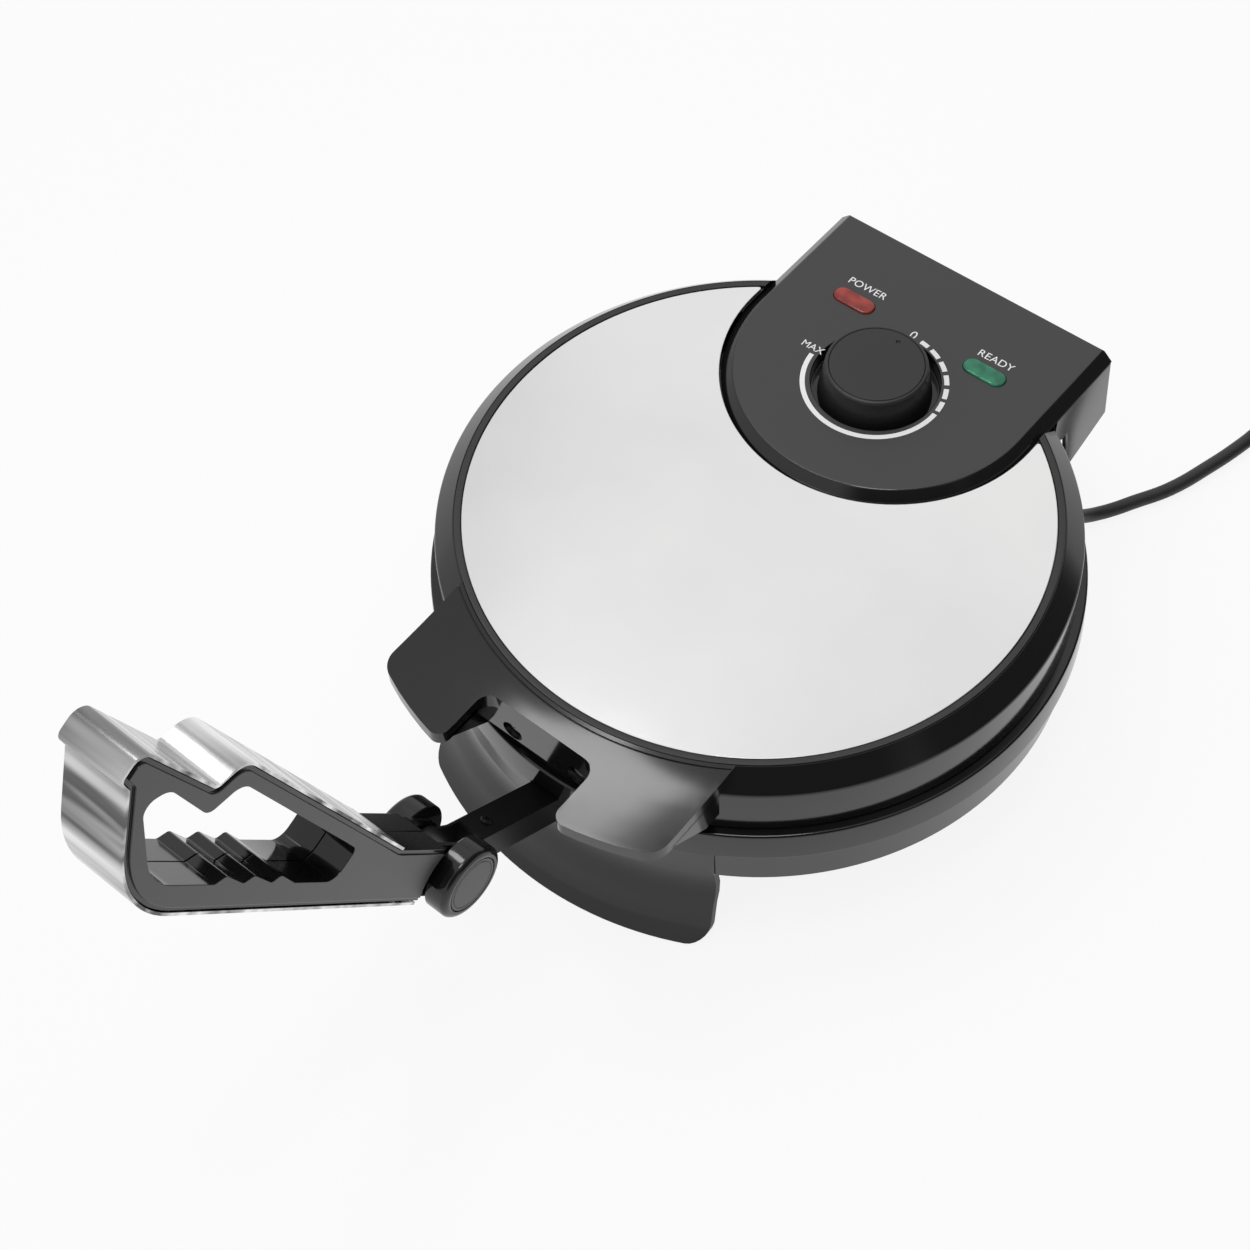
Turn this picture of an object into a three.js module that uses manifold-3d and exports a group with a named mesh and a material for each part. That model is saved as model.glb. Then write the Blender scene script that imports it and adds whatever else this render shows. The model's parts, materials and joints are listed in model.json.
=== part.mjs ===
// Electric roti maker: a round contact cooker with a hinged lid and a folding press lever.
// Units are millimetres, +Z is up and the front faces -Y.
// Heights are measured from the table and radii from the axis of the hot plates.

import * as THREE from 'three';
import { mergeVertices } from 'three/addons/utils/BufferGeometryUtils.js';
import Module from 'manifold-3d';

const wasm = await Module();
wasm.setup();

// Fits that the whole object shares
const clearance = 0.3;
const overrun = 3;
const ringSegments = 60;
const innerSegments = 40;
const smallSegments = 14;
const cornerSteps = 3;
const wideRound = 20;

// Stainless cover of the lid and the black ring round it
const cover = { radius: 130, sheet: 0.8, top: 109.5, corner: 4 };
const trim = { width: 3, rise: 0.3, fall: 0.4 };
const trimInner = cover.radius + clearance;
const trimOuter = trimInner + trim.width;

// Lid shell with its front ears and the notch between them
const lid = { bevelWidth: 9.2, bevelDrop: 8.9, wall: 2.4, draft: 0.4, bottom: 75.9, shelfWidth: 18,
  shelf: 2.7, ledge: 2.5, ledgeWidth: 4.6 };
const shellInner = trimOuter + clearance;
const lidRadius = shellInner + lid.bevelWidth;
const lidFootRadius = lidRadius + lid.draft;
const lidInner = lidRadius - lid.wall;
const coverSeat = cover.top - cover.sheet - clearance;
const ear = { halfWidth: 74.6, reach: 34.8, lip: 7, sheet: 2.6, fall: 3.2, edge: 2, corner: 11, drop: 24,
  gusset: 2.6 };
const earReach = lidFootRadius + ear.reach;
const notch = { halfWidth: 30, setback: 2.2, backWall: 2.2, corner: 6.5, bottom: 85.5 };
const notchBack = lidFootRadius + notch.setback;

// Base shell, its channel round the lid and the skirt at the front
const base = { overhang: 5.1, bandLow: 59.5, bandTop: 75.4, bandLip: 1, shoulder: 1.3, flare: 0.8,
  ledgeTop: 73.3 };
const baseRadius = lidFootRadius + base.overhang;
const baseWall = { step: 2.9, sheet: 2.5, bottom: 36.6, draft: 0.3, flatStep: 5.1, flatHalfWidth: 81 };
const flatBack = baseRadius - baseWall.flatStep;
const ledgeInner = lidInner - lid.ledgeWidth;
const lowerWallRadius = baseRadius - baseWall.step;
const skirt = { sheet: 2.4, bottom: 1, knee: 44.5, top: 66, reach: 16.6, cornerHalfWidth: 80.4,
  topHalfWidth: 74, corner: 6.5 };
const skirtReach = lowerWallRadius + skirt.reach;

// Hot plates and what heats them
const plate = { inset: 12.4, flange: 2.6, flangeGap: 0.6, thickness: 5, rimWidth: 2.5, rimHeight: 1.4 };
const plateRadius = lidInner - plate.inset;
const plateFlangeRadius = lidInner - plate.rimWidth / 2;
const parting = 77;
const element = { inset: 40, tube: 3.2, sweep: 5.6, leg: 13, steps: 36, sides: 6 };
const elementRing = plateRadius - element.inset;
const shield = { sheet: 0.8, inset: 6, slope: 16, depth: 8.4, hole: 16 };
const shieldRadius = plateRadius - shield.inset;
const shieldFloor = shieldRadius - shield.slope;

// Underside cover and feet
const pan = { sheet: 2.5, inset: 31.4, slope: 4, height: 14, vent: 3, ventLength: 26, vents: 5,
  ventPitch: 9 };
const panBrim = lowerWallRadius - pan.inset;
const panFloor = panBrim - pan.slope;
const foot = { radius: 10, toe: 8.6, inset: 13, angle: 35 };
const footRing = panFloor - foot.inset;

// Control panel over the rear of the lid, and the housing under it
const panel = { halfWidth: 70.9, setback: 45.2, rearReach: 22.3, rise: 2.4, sheet: 2.5, bevel: 5.3,
  rearBevel: 1 };
const panelCentre = lidRadius - panel.setback;
const panelRear = lidRadius + panel.rearReach;
const panelFoot = cover.top + panel.rise - panel.bevel;
const panelEdge = panel.halfWidth + panel.bevel;
const housing = { wall: 2.5, low: 66.5, slantLow: 56.2, slantReach: 1.9, setback: 6.3, frontLow: 85.8,
  rake: 5.4, rib: 3 };
const slantFront = lidRadius + housing.slantReach;
const housingFront = lidRadius - housing.setback;
const dial = { setback: 10, well: 29.5, wellWall: 2, wellFloor: 5, wellSheet: 2.5 };
const dialY = panelCentre - dial.setback;
const knob = { radius: 26.2, top: 23.4, height: 18.2, dome: 0.8, groove: 22, grooveDepth: 0.4, wall: 3.2,
  boss: 7 };
const pointer = { radius: 1.1, depth: 0.7, reach: 16.5 };
const shaft = { radius: 3, length: 22 };
const thermostat = { width: 30, depth: 26, height: 9.8, chamfer: 4 };
const lens = { x: 36.4, offset: 23.6, length: 21.6, width: 8.8, proud: 0.9, lip: 1.2, lipWidth: 1.2 };
const lensY = panelCentre + lens.offset;
const lamp = { radius: 2.2, length: 15 };

// Lid hinge
const hinge = { offset: 3.7, z: 70, pin: 3, eye: 6.5, eyeWidth: 6, baseEye: 55, lidEye: 63.5, plateSheet: 2 };
const hingeY = baseRadius + hinge.offset;
const hingePlate = { halfWidth: 60, low: 53, high: 68 };

// Press lever: a steel arm on the base and a handle that folds on its end
const pivot = { offset: 64.4, z: 96.2, pin: 3 };
const pivotY = baseRadius + pivot.offset;
const arm = { halfWidth: 7.5, sheet: 1.5, top: 4.3, depth: 13.8, lug: 9.6, start: 22.4, length: 97,
  angle: 32 };
const armBolt = { inset: 4.5, drop: 3.2, radius: 2, cheek: 3.4, head: 3.6, headHeight: 2.4, block: 6.5 };
const armBoltBack = arm.length - armBolt.inset;
const armScrew = { back: 32.6, radius: 1.5, head: 2.8, headHeight: 1.3, length: 7 };
const insert = { start: 25, length: 30, height: 7 };
const handle = { length: 246.4, height: 56.8, below: 12.4, halfWidth: 14, wrap: 1.2, angle: 55.06,
  wrapStart: 23, wrapTopStart: 56 };
const cheek = { inner: 7.9, outer: 10.2, radius: 10.8, pocket: 24 };
const cap = { radius: 16.8, inner: 10.6, outer: 21.3, round: 2.6, inlay: 12.6, inlayDepth: 1.4,
  inlaySheet: 1 };
const handleScrew = { radius: 1.5, head: 3.1, headDepth: 2.4, length: 12 };

// Corners of the handle's side view: shares of its length and height, and a corner radius each
const handleShares = [
  [0.081, 0], [0.86, 0], [0.977, 0.785], [1, 0.827], [0.994, 1],
  [0.801, 0.806], [0.768, 0.996], [0.229, 0.41], [0.081, 0.419],
];
const handleRounds = [0, 55, 2, 2, 5, 2.5, 6, 8, 0];
const holeShares = [
  [0.381, 0.183], [0.488, 0.183], [0.534, 0.241], [0.548, 0.187], [0.601, 0.241],
  [0.618, 0.187], [0.669, 0.241], [0.687, 0.183], [0.832, 0.187], [0.937, 0.685],
  [0.901, 0.799], [0.79, 0.648], [0.75, 0.861], [0.418, 0.486], [0.371, 0.43],
];
const holeRounds = [7, 0, 0.8, 0.8, 0.8, 0.8, 0.8, 0.8, 26, 5, 6, 3, 6, 5, 3];
const handleScrewShares = [[0.345, 0.3], [0.74, 0.09], [0.957, 0.87]];

// Mains lead: gland, loose stretch, coil, tail and plug
const cord = { diameter: 7, lift: 4.1, sides: 8 };
const gland = { angle: 60, height: 22, radius: 5.2, collar: 7, collarSheet: 2.4, length: 28, tip: 4.4,
  inside: 7 };
const coil = { right: 95, behind: 160, outer: 43, pitch: 7.6, turns: 2.5, stepsPerTurn: 24, sides: 6,
  climb: 0.5 };
const plug = { right: 40, before: 90, width: 46, length: 42, height: 20, corner: 9, taper: 5 };
const plugPin = { length: 17, width: 6.3, sheet: 4, earthLength: 21, spread: 11, row: 6, earthRow: 15 };
const sleeve = { length: 16, radius: 5.2, tip: 4.4 };

// Fasteners
const frontScrew = { x: 17.6, drop: 21.4, head: 4.2, radius: 1.9, length: 9, seat: 5.2, seatDepth: 1.6 };

function weld(geometry) {
  const bare = new THREE.BufferGeometry();
  bare.setAttribute('position', geometry.getAttribute('position').clone());
  if (geometry.index) bare.setIndex(geometry.index.clone());
  return mergeVertices(bare);
}

function solid(geometry) {
  const welded = weld(geometry);
  const places = welded.getAttribute('position').array;
  const corners = welded.index.array;
  const kept = [];
  let volume = 0;
  const a = new THREE.Vector3();
  const b = new THREE.Vector3();
  const c = new THREE.Vector3();
  for (let i = 0; i < corners.length; i += 3) {
    const [p, q, r] = [corners[i], corners[i + 1], corners[i + 2]];
    if (p === q || q === r || r === p) continue;
    kept.push(p, q, r);
    volume += a.fromArray(places, 3 * p).dot(b.fromArray(places, 3 * q).cross(c.fromArray(places, 3 * r)));
  }
  if (volume < 0) {
    for (let i = 0; i < kept.length; i += 3) [kept[i], kept[i + 1]] = [kept[i + 1], kept[i]];
  }
  const parts = { numProp: 3, vertProperties: new Float32Array(places), triVerts: new Uint32Array(kept) };
  return new wasm.Manifold(new wasm.Mesh(parts));
}

function mesh(name, body, material) {
  const surface = body.getMesh();
  const geometry = new THREE.BufferGeometry();
  geometry.setAttribute('position', new THREE.BufferAttribute(new Float32Array(surface.vertProperties), 3));
  geometry.setIndex(new THREE.BufferAttribute(new Uint32Array(surface.triVerts), 1));
  geometry.computeVertexNormals();
  const made = new THREE.Mesh(geometry, material);
  made.name = name;
  return made;
}

// A profile of [radius, height] pairs turned about the Z axis
function turned(profile, segments = ringSegments) {
  const points = profile.map(([radius, height]) => new THREE.Vector2(radius, height));
  const onAxis = profile[0][0] === 0 && profile[profile.length - 1][0] === 0;
  if (!onAxis) points.push(points[0].clone());
  const geometry = new THREE.LatheGeometry(points, segments);
  geometry.rotateX(Math.PI / 2);
  return solid(geometry);
}

function disc(radius, low, high, segments = smallSegments) {
  return turned([[0, low], [radius, low], [radius, high], [0, high]], segments);
}

// An outline in X and Y raised from one height to another
function raised(outline, low, high) {
  const shape = new THREE.Shape(outline.map(([x, y]) => new THREE.Vector2(x, y)));
  const geometry = new THREE.ExtrudeGeometry(shape, { depth: high - low, bevelEnabled: false, steps: 1 });
  geometry.translate(0, 0, low);
  return solid(geometry);
}

function block(x0, x1, y0, y1, z0, z1) {
  return raised([[x0, y0], [x1, y0], [x1, y1], [x0, y1]], z0, z1);
}

// Corner points joined by arcs of the given radii
function rounded(corners, radii) {
  const outline = [];
  corners.forEach((corner, i) => {
    const here = new THREE.Vector2(...corner);
    const radius = Array.isArray(radii) ? radii[i] : radii;
    const before = new THREE.Vector2(...corners[(i + corners.length - 1) % corners.length]).sub(here);
    const after = new THREE.Vector2(...corners[(i + 1) % corners.length]).sub(here);
    const room = Math.min(before.length(), after.length());
    before.normalize();
    after.normalize();
    const half = Math.acos(THREE.MathUtils.clamp(before.dot(after), -1, 1)) / 2;
    const tangent = Math.min(radius / Math.tan(half), room * 0.499);
    if (tangent <= 0) {
      outline.push([here.x, here.y]);
      return;
    }
    const first = here.clone().addScaledVector(before, tangent);
    const last = here.clone().addScaledVector(after, tangent);
    const steps = radius > wideRound ? 3 * cornerSteps : cornerSteps;
    const curve = arcBetween(first, here, last, half, tangent, steps);
    outline.push(...curve);
  });
  return outline;
}

function arcBetween(first, corner, last, half, tangent, steps) {
  const centre = first.clone().add(last).multiplyScalar(0.5).sub(corner);
  centre.setLength(tangent / Math.cos(half)).add(corner);
  const start = Math.atan2(first.y - centre.y, first.x - centre.x);
  let turn = Math.atan2(last.y - centre.y, last.x - centre.x) - start;
  if (turn > Math.PI) turn -= 2 * Math.PI;
  if (turn < -Math.PI) turn += 2 * Math.PI;
  const radius = first.distanceTo(centre);
  const points = [];
  for (let i = 0; i <= steps; i += 1) {
    const angle = start + (turn * i) / steps;
    points.push([centre.x + radius * Math.cos(angle), centre.y + radius * Math.sin(angle)]);
  }
  return points;
}

// The same outline, drawn in by a distance; the outline runs anticlockwise
function drawnIn(outline, distance) {
  return outline.map((point, i) => {
    const here = new THREE.Vector2(...point);
    const before = new THREE.Vector2(...outline[(i + outline.length - 1) % outline.length]);
    const from = here.clone().sub(before).normalize();
    const to = new THREE.Vector2(...outline[(i + 1) % outline.length]).sub(here).normalize();
    const normal = new THREE.Vector2(-from.y - to.y, from.x + to.x).normalize();
    const stretch = Math.max(normal.dot(new THREE.Vector2(-from.y, from.x)), 0.5);
    return [here.x + (normal.x * distance) / stretch, here.y + (normal.y * distance) / stretch];
  });
}

function moved(body, x, y, z) {
  return body.translate([x, y, z]);
}

function alongX(body) {
  return body.rotate([0, 90, 0]);
}

// A side view: local x runs to the front, local y runs up and local z runs to the left
function sideView(y, z, angle) {
  const tilt = new THREE.Group();
  tilt.position.set(0, -y, z);
  tilt.rotation.x = -THREE.MathUtils.degToRad(angle);
  const view = new THREE.Group();
  const axes = new THREE.Matrix4().makeBasis(
    new THREE.Vector3(0, -1, 0), new THREE.Vector3(0, 0, 1), new THREE.Vector3(-1, 0, 0),
  );
  view.quaternion.setFromRotationMatrix(axes);
  tilt.add(view);
  tilt.updateMatrixWorld(true);
  return { tilt, view };
}

function inWorld(body, group) {
  group.updateWorldMatrix(true, false);
  return body.transform(group.matrixWorld.toArray());
}

function swept(points, radius, sides, steps) {
  const section = new THREE.Shape();
  for (let i = 0; i < sides; i += 1) {
    const angle = (2 * Math.PI * (i + 0.5)) / sides;
    const corner = [radius * Math.cos(angle), radius * Math.sin(angle)];
    if (i === 0) section.moveTo(...corner);
    else section.lineTo(...corner);
  }
  const path = new THREE.CatmullRomCurve3(points.map((p) => new THREE.Vector3(...p)), false, 'centripetal');
  return solid(new THREE.ExtrudeGeometry(section, { extrudePath: path, steps, bevelEnabled: false }));
}

// Finishes
const finish = (color, roughness, metalness) =>
  new THREE.MeshStandardMaterial({ color, roughness, metalness, flatShading: true });

const finishes = {
  glossBlack: () => finish(0x17171a, 0.22, 0),
  satinBlack: () => finish(0x242427, 0.55, 0),
  brushedSteel: () => finish(0xc9cbcd, 0.3, 1),
  polishedSteel: () => finish(0xd6d8da, 0.14, 1),
  paintedSteel: () => finish(0x101012, 0.45, 0.2),
  zincSteel: () => finish(0x9a9c9f, 0.4, 1),
  nonStick: () => finish(0x2b2b2d, 0.6, 0.2),
  castAluminium: () => finish(0x8f9194, 0.5, 1),
  rubber: () => finish(0x1c1c1e, 0.85, 0),
  cordSheath: () => finish(0x26272a, 0.6, 0),
  redLens: () => finish(0xa3382c, 0.15, 0),
  greenLens: () => finish(0x1d7f58, 0.15, 0),
  brass: () => finish(0xb89b55, 0.35, 1),
  clearGlass: () => finish(0xd8dde0, 0.08, 0),
};

const body = new THREE.Group();
const lidGroup = new THREE.Group();
body.add(lidGroup);

// The D-shaped outline of the panel, grown by a margin
function panelOutline(margin, rearMargin = margin) {
  const half = panel.halfWidth + margin;
  const rear = panelRear + rearMargin;
  const outline = [[half, panelCentre], [half, rear], [-half, rear], [-half, panelCentre]];
  const arcSteps = 4 * cornerSteps;
  for (let i = 1; i < arcSteps; i += 1) {
    const angle = Math.PI + (Math.PI * i) / arcSteps;
    outline.push([half * Math.cos(angle), panelCentre + half * Math.sin(angle)]);
  }
  return outline;
}

function panelSpace(margin, low) {
  return raised(panelOutline(panel.bevel + margin), low, cover.top + overrun * 4);
}

// Lid pieces
function makeSteelCover() {
  const side = panelEdge + clearance * 3;
  const corner = Math.sqrt(cover.radius ** 2 - side ** 2);
  const start = Math.atan2(corner, -side);
  const sweep = 2 * Math.PI - 2 * (start - Math.PI / 2);
  const steps = ringSegments - 2 * cornerSteps;
  const outline = [];
  for (let i = 0; i <= steps; i += 1) {
    const angle = start + (sweep * i) / steps;
    outline.push([cover.radius * Math.cos(angle), cover.radius * Math.sin(angle)]);
  }
  const arcSteps = 4 * cornerSteps;
  for (let i = 0; i <= arcSteps; i += 1) {
    const angle = -(Math.PI * (i + 0.3)) / (arcSteps + 0.6);
    outline.push([side * Math.cos(angle), panelCentre + side * Math.sin(angle)]);
  }
  const rounds = outline.map((point, i) => (i === 0 || i === steps ? cover.corner : 0));
  const sheet = raised(rounded(outline, rounds), cover.top - cover.sheet, cover.top);
  return mesh('steel_cover', sheet, finishes.brushedSteel());
}

function makeTrimRing() {
  const low = cover.top - cover.sheet;
  const ring = turned([
    [trimInner, low], [trimOuter, low], [trimOuter, cover.top + trim.rise],
    [trimInner + trim.fall, cover.top + trim.rise], [trimInner, cover.top],
  ]);
  return mesh('trim_ring', ring.subtract(panelSpace(clearance, low - overrun)), finishes.satinBlack());
}

// The outline of the ears, seen from above, with the notch between them
function earOutline() {
  const rearY = -Math.sqrt(shellInner ** 2 - ear.halfWidth ** 2);
  const front = (x) => -Math.sqrt(earReach ** 2 - x ** 2);
  const outline = [[ear.halfWidth, rearY], [0, rearY], [-ear.halfWidth, rearY]];
  const left = [];
  const innerX = notch.halfWidth;
  const cornerX = ear.halfWidth;
  for (let i = 0; i <= cornerSteps; i += 1) {
    const x = cornerX + ((innerX - cornerX) * i) / cornerSteps;
    left.push([-x, front(x)]);
  }
  const right = left.map(([x, y]) => [-x, y]).reverse();
  outline.push(...left, [-innerX, -notchBack], [innerX, -notchBack], ...right);
  const rounds = outline.map(() => 0);
  rounds[3] = ear.corner;
  rounds[3 + cornerSteps] = notch.corner;
  rounds[4 + cornerSteps] = notch.corner;
  rounds[5 + cornerSteps] = notch.corner;
  rounds[6 + cornerSteps] = notch.corner;
  rounds[outline.length - 1] = ear.corner;
  return rounded(outline, rounds);
}

function makeEars() {
  const top = cover.top + trim.rise;
  const outer = earReach + overrun;
  const middle = (shellInner + earReach) / 2;
  const low = top - ear.fall - ear.lip;
  const plan = earOutline();
  const dish = turned([
    [shellInner, low], [outer, low], [outer, top - ear.fall - ear.edge * 1.5],
    [earReach - ear.edge, top - ear.fall], [middle, top - ear.fall * 0.8], [shellInner, top],
  ]);
  const under = turned([
    [0, 0], [outer, 0], [outer, top - ear.fall - ear.edge - ear.sheet],
    [shellInner, top - ear.sheet - ear.edge], [0, top - ear.sheet - ear.edge],
  ]);
  const slab = dish.intersect(raised(plan, 0, top + overrun));
  const hollow = under.intersect(raised(drawnIn(plan, ear.sheet), 0, top));
  const gussetLow = top - ear.drop;
  const gussetY = -Math.sqrt(lidRadius ** 2 - ear.halfWidth ** 2) + overrun;
  const gussetSide = [[-gussetY, low + overrun], [-gussetY, gussetLow], [-gussetY + ear.drop / 2, gussetLow],
    [earReach * 0.86, low + overrun / 2]];
  const flankSide = [[notchBack - notch.backWall, low + overrun], [notchBack - notch.backWall, gussetLow],
    [notchBack + notch.backWall, gussetLow], [notchBack + ear.drop, low + overrun / 2]];
  const flat = sideView(0, 0, 0).view;
  const web = (side, x) => inWorld(raised(side, x - ear.gusset / 2, x + ear.gusset / 2), flat);
  const gussetX = ear.halfWidth - ear.gusset / 2;
  const flankX = notch.halfWidth + ear.gusset / 2;
  const backX = notch.halfWidth + ear.gusset;
  const back = block(-backX, backX, -notchBack, -notchBack + notch.backWall, notch.bottom, top - ear.fall);
  return slab.subtract(hollow).add(web(gussetSide, gussetX)).add(web(gussetSide, -gussetX))
    .add(web(flankSide, flankX)).add(web(flankSide, -flankX)).add(back);
}

function makeLidShell() {
  const shellTop = cover.top + trim.rise - clearance;
  const ledgeLow = upperFlangeTop() + clearance;
  const shelfLow = coverSeat - lid.shelf;
  const ring = turned([
    [shellInner, shellTop], [lidRadius, cover.top - lid.bevelDrop],
    [lidFootRadius, lid.bottom], [lidInner, lid.bottom],
    [lidInner, ledgeLow], [ledgeInner, ledgeLow], [ledgeInner, ledgeLow + lid.ledge],
    [lidInner, ledgeLow + lid.ledge], [lidInner, cover.top - lid.bevelDrop - lid.wall],
    [shellInner, shelfLow], [trimOuter - lid.shelfWidth, shelfLow], [trimOuter - lid.shelfWidth, coverSeat],
    [shellInner, coverSeat],
  ]);
  const earSpace = cover.top + overrun * 3;
  const innerSpace = turned([
    [0, 0], [lidInner, 0], [lidInner, cover.top - lid.bevelDrop - lid.wall], [shellInner, shelfLow],
    [shellInner, earSpace], [0, earSpace],
  ]);
  let shell = ring.add(makeEars().subtract(innerSpace));
  shell = shell.subtract(panelSpace(clearance, panelFoot - clearance));
  const wireSlot = block(-thermostat.width, thermostat.width, shellInner - lid.shelfWidth, baseRadius,
    ledgeLow + lid.ledge + overrun, panelFoot + overrun);
  const underPanel = raised(panelOutline(-panel.sheet), shelfLow - overrun, earSpace);
  shell = shell.subtract(wireSlot).subtract(underPanel.intersect(disc(lidInner, 0, earSpace, ringSegments)));
  for (const side of [-1, 1]) shell = shell.subtract(screwSpace(side));
  return mesh('lid_shell', shell, finishes.glossBlack());
}

function screwSpace(side) {
  const height = cover.top - frontScrew.drop;
  const hole = disc(frontScrew.radius + clearance, -frontScrew.length - overrun, overrun);
  const seat = disc(frontScrew.seat, -frontScrew.seatDepth, overrun);
  return moved(hole.add(seat).rotate([90, 0, 0]), side * frontScrew.x, -notchBack, height);
}

function makeFrontScrew(name, side) {
  const high = -frontScrew.seatDepth + clearance;
  const height = cover.top - frontScrew.drop;
  const shape = turned([
    [0, -frontScrew.length], [frontScrew.radius, -frontScrew.length], [frontScrew.radius, high],
    [frontScrew.head, high], [frontScrew.head * 0.8, high + frontScrew.seatDepth],
    [0, high + frontScrew.seatDepth],
  ], smallSegments);
  const made = mesh(name, shape.rotate([90, 0, 0]), finishes.zincSteel());
  made.position.set(side * frontScrew.x, -notchBack, height);
  return made;
}

function upperFlangeTop() {
  return parting + clearance / 2 + plate.flangeGap + plate.flange;
}

// One hot plate, seen with its cooking face down; turned over for the base
function plateProfile() {
  const face = plate.rimHeight;
  const inner = plateRadius - plate.rimWidth;
  return [
    [0, face], [inner - plate.rimHeight, face], [inner, 0], [plateRadius, 0],
    [plateRadius, plate.flangeGap], [plateFlangeRadius, plate.flangeGap],
    [plateFlangeRadius, plate.flangeGap + plate.flange],
    [plateRadius, plate.flangeGap + plate.flange], [plateRadius - plate.rimWidth, plate.thickness],
    [0, plate.thickness],
  ];
}

function makePlate(name, isUpper) {
  const lift = isUpper ? clearance / 2 : -clearance / 2;
  const flip = isUpper ? 1 : -1;
  const profile = plateProfile().map(([radius, height]) => [radius, parting + lift + flip * height]);
  return mesh(name, turned(profile, innerSegments), finishes.nonStick());
}

function plateBack(isUpper) {
  return isUpper ? parting + clearance / 2 + plate.thickness : parting - clearance / 2 - plate.thickness;
}

// Heater tube: a ring with two legs that carry its terminals
function elementPoints(isUpper) {
  const away = isUpper ? 1 : -1;
  const height = plateBack(isUpper) + away * (element.tube + clearance);
  const points = [];
  const start = Math.PI / 2 + (2 * Math.PI - element.sweep) / 2;
  for (let i = 0; i <= element.steps; i += 1) {
    const angle = start + (element.sweep * i) / element.steps;
    points.push([elementRing * Math.cos(angle), elementRing * Math.sin(angle), height]);
  }
  const ends = [points[0], points[points.length - 1]];
  const inward = (elementRing - element.leg) / elementRing;
  points.unshift([ends[0][0] * inward, ends[0][1] * inward, height]);
  points.push([ends[1][0] * inward, ends[1][1] * inward, height]);
  return points;
}

function makeElement(name, isUpper) {
  const tube = swept(elementPoints(isUpper), element.tube, element.sides, element.steps + cornerSteps);
  return mesh(name, tube, finishes.zincSteel());
}

function makeShield(name, isUpper) {
  const away = isUpper ? 1 : -1;
  const seat = plateBack(isUpper) + away * clearance;
  const profile = [
    [shieldRadius, seat], [shieldFloor, seat + away * (shield.depth - shield.sheet)],
    [shield.hole, seat + away * (shield.depth - shield.sheet)], [shield.hole, seat + away * shield.depth],
    [shieldFloor + shield.sheet, seat + away * shield.depth], [shieldRadius + shield.sheet, seat],
  ];
  return mesh(name, turned(profile, innerSegments), finishes.castAluminium());
}

// Control panel with the well that the knob sits in
function makeControlPanel() {
  const top = cover.top + panel.rise;
  const shape = new THREE.Shape(panelOutline(0).map(([x, y]) => new THREE.Vector2(x, y)));
  const options = { depth: panel.bevel, bevelEnabled: true, bevelThickness: panel.bevel,
    bevelSize: panel.bevel, bevelSegments: 1, steps: 1 };
  const geometry = new THREE.ExtrudeGeometry(shape, options);
  geometry.translate(0, 0, top - 2 * panel.bevel);
  const far = panelRear * 2;
  let cap = solid(geometry).subtract(block(-far, far, -far, far, 0, panelFoot));
  cap = cap.subtract(block(-far, far, panelRear + panel.rearBevel, far, 0, far));
  cap = cap.subtract(raised(panelOutline(-panel.sheet), 0, top - panel.sheet));
  const well = top - panel.rise - dial.wellFloor;
  const cup = disc(dial.well + dial.wellWall, well - dial.wellSheet, top - panel.sheet / 2, innerSegments);
  cap = cap.add(moved(cup, 0, dialY, 0));
  cap = cap.subtract(moved(disc(dial.well, well, top + overrun, innerSegments), 0, dialY, 0));
  cap = cap.subtract(moved(disc(shaft.radius + clearance * 2, 0, top, smallSegments), 0, dialY, 0));
  for (const side of [-1, 1]) {
    const hole = raised(pill(lens.length + 2 * clearance, lens.width + 2 * clearance), 0, top + overrun);
    cap = cap.subtract(moved(hole, side * lens.x, lensY, 0));
  }
  return mesh('control_panel', cap, finishes.satinBlack());
}

function pill(length, width) {
  const x = length / 2;
  const y = width / 2;
  return rounded([[x, -y], [x, y], [-x, y], [-x, -y]], y * 0.98);
}

function makeLens(name, side, material) {
  const top = cover.top + panel.rise;
  const under = top - panel.sheet - clearance;
  const dome = raised(pill(lens.length, lens.width), under - lens.lip / 2, top + lens.proud);
  const lipOutline = pill(lens.length + 2 * lens.lipWidth, lens.width + 2 * lens.lipWidth);
  const lip = raised(lipOutline, under - lens.lip, under);
  const made = mesh(name, dome.add(lip), material);
  made.position.set(side * lens.x, lensY, 0);
  return made;
}

function makeLamp(name, side) {
  const height = cover.top + panel.rise - panel.sheet - lens.lip - 2 * clearance - lamp.radius;
  const half = lamp.length / 2;
  const bulb = turned([
    [0, -half], [lamp.radius * 0.7, -half], [lamp.radius, -half + lamp.radius],
    [lamp.radius, half - lamp.radius], [lamp.radius * 0.7, half], [0, half],
  ], smallSegments / 2);
  const made = mesh(name, alongX(bulb), finishes.clearGlass());
  made.position.set(side * lens.x, lensY, height);
  return made;
}

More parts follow.
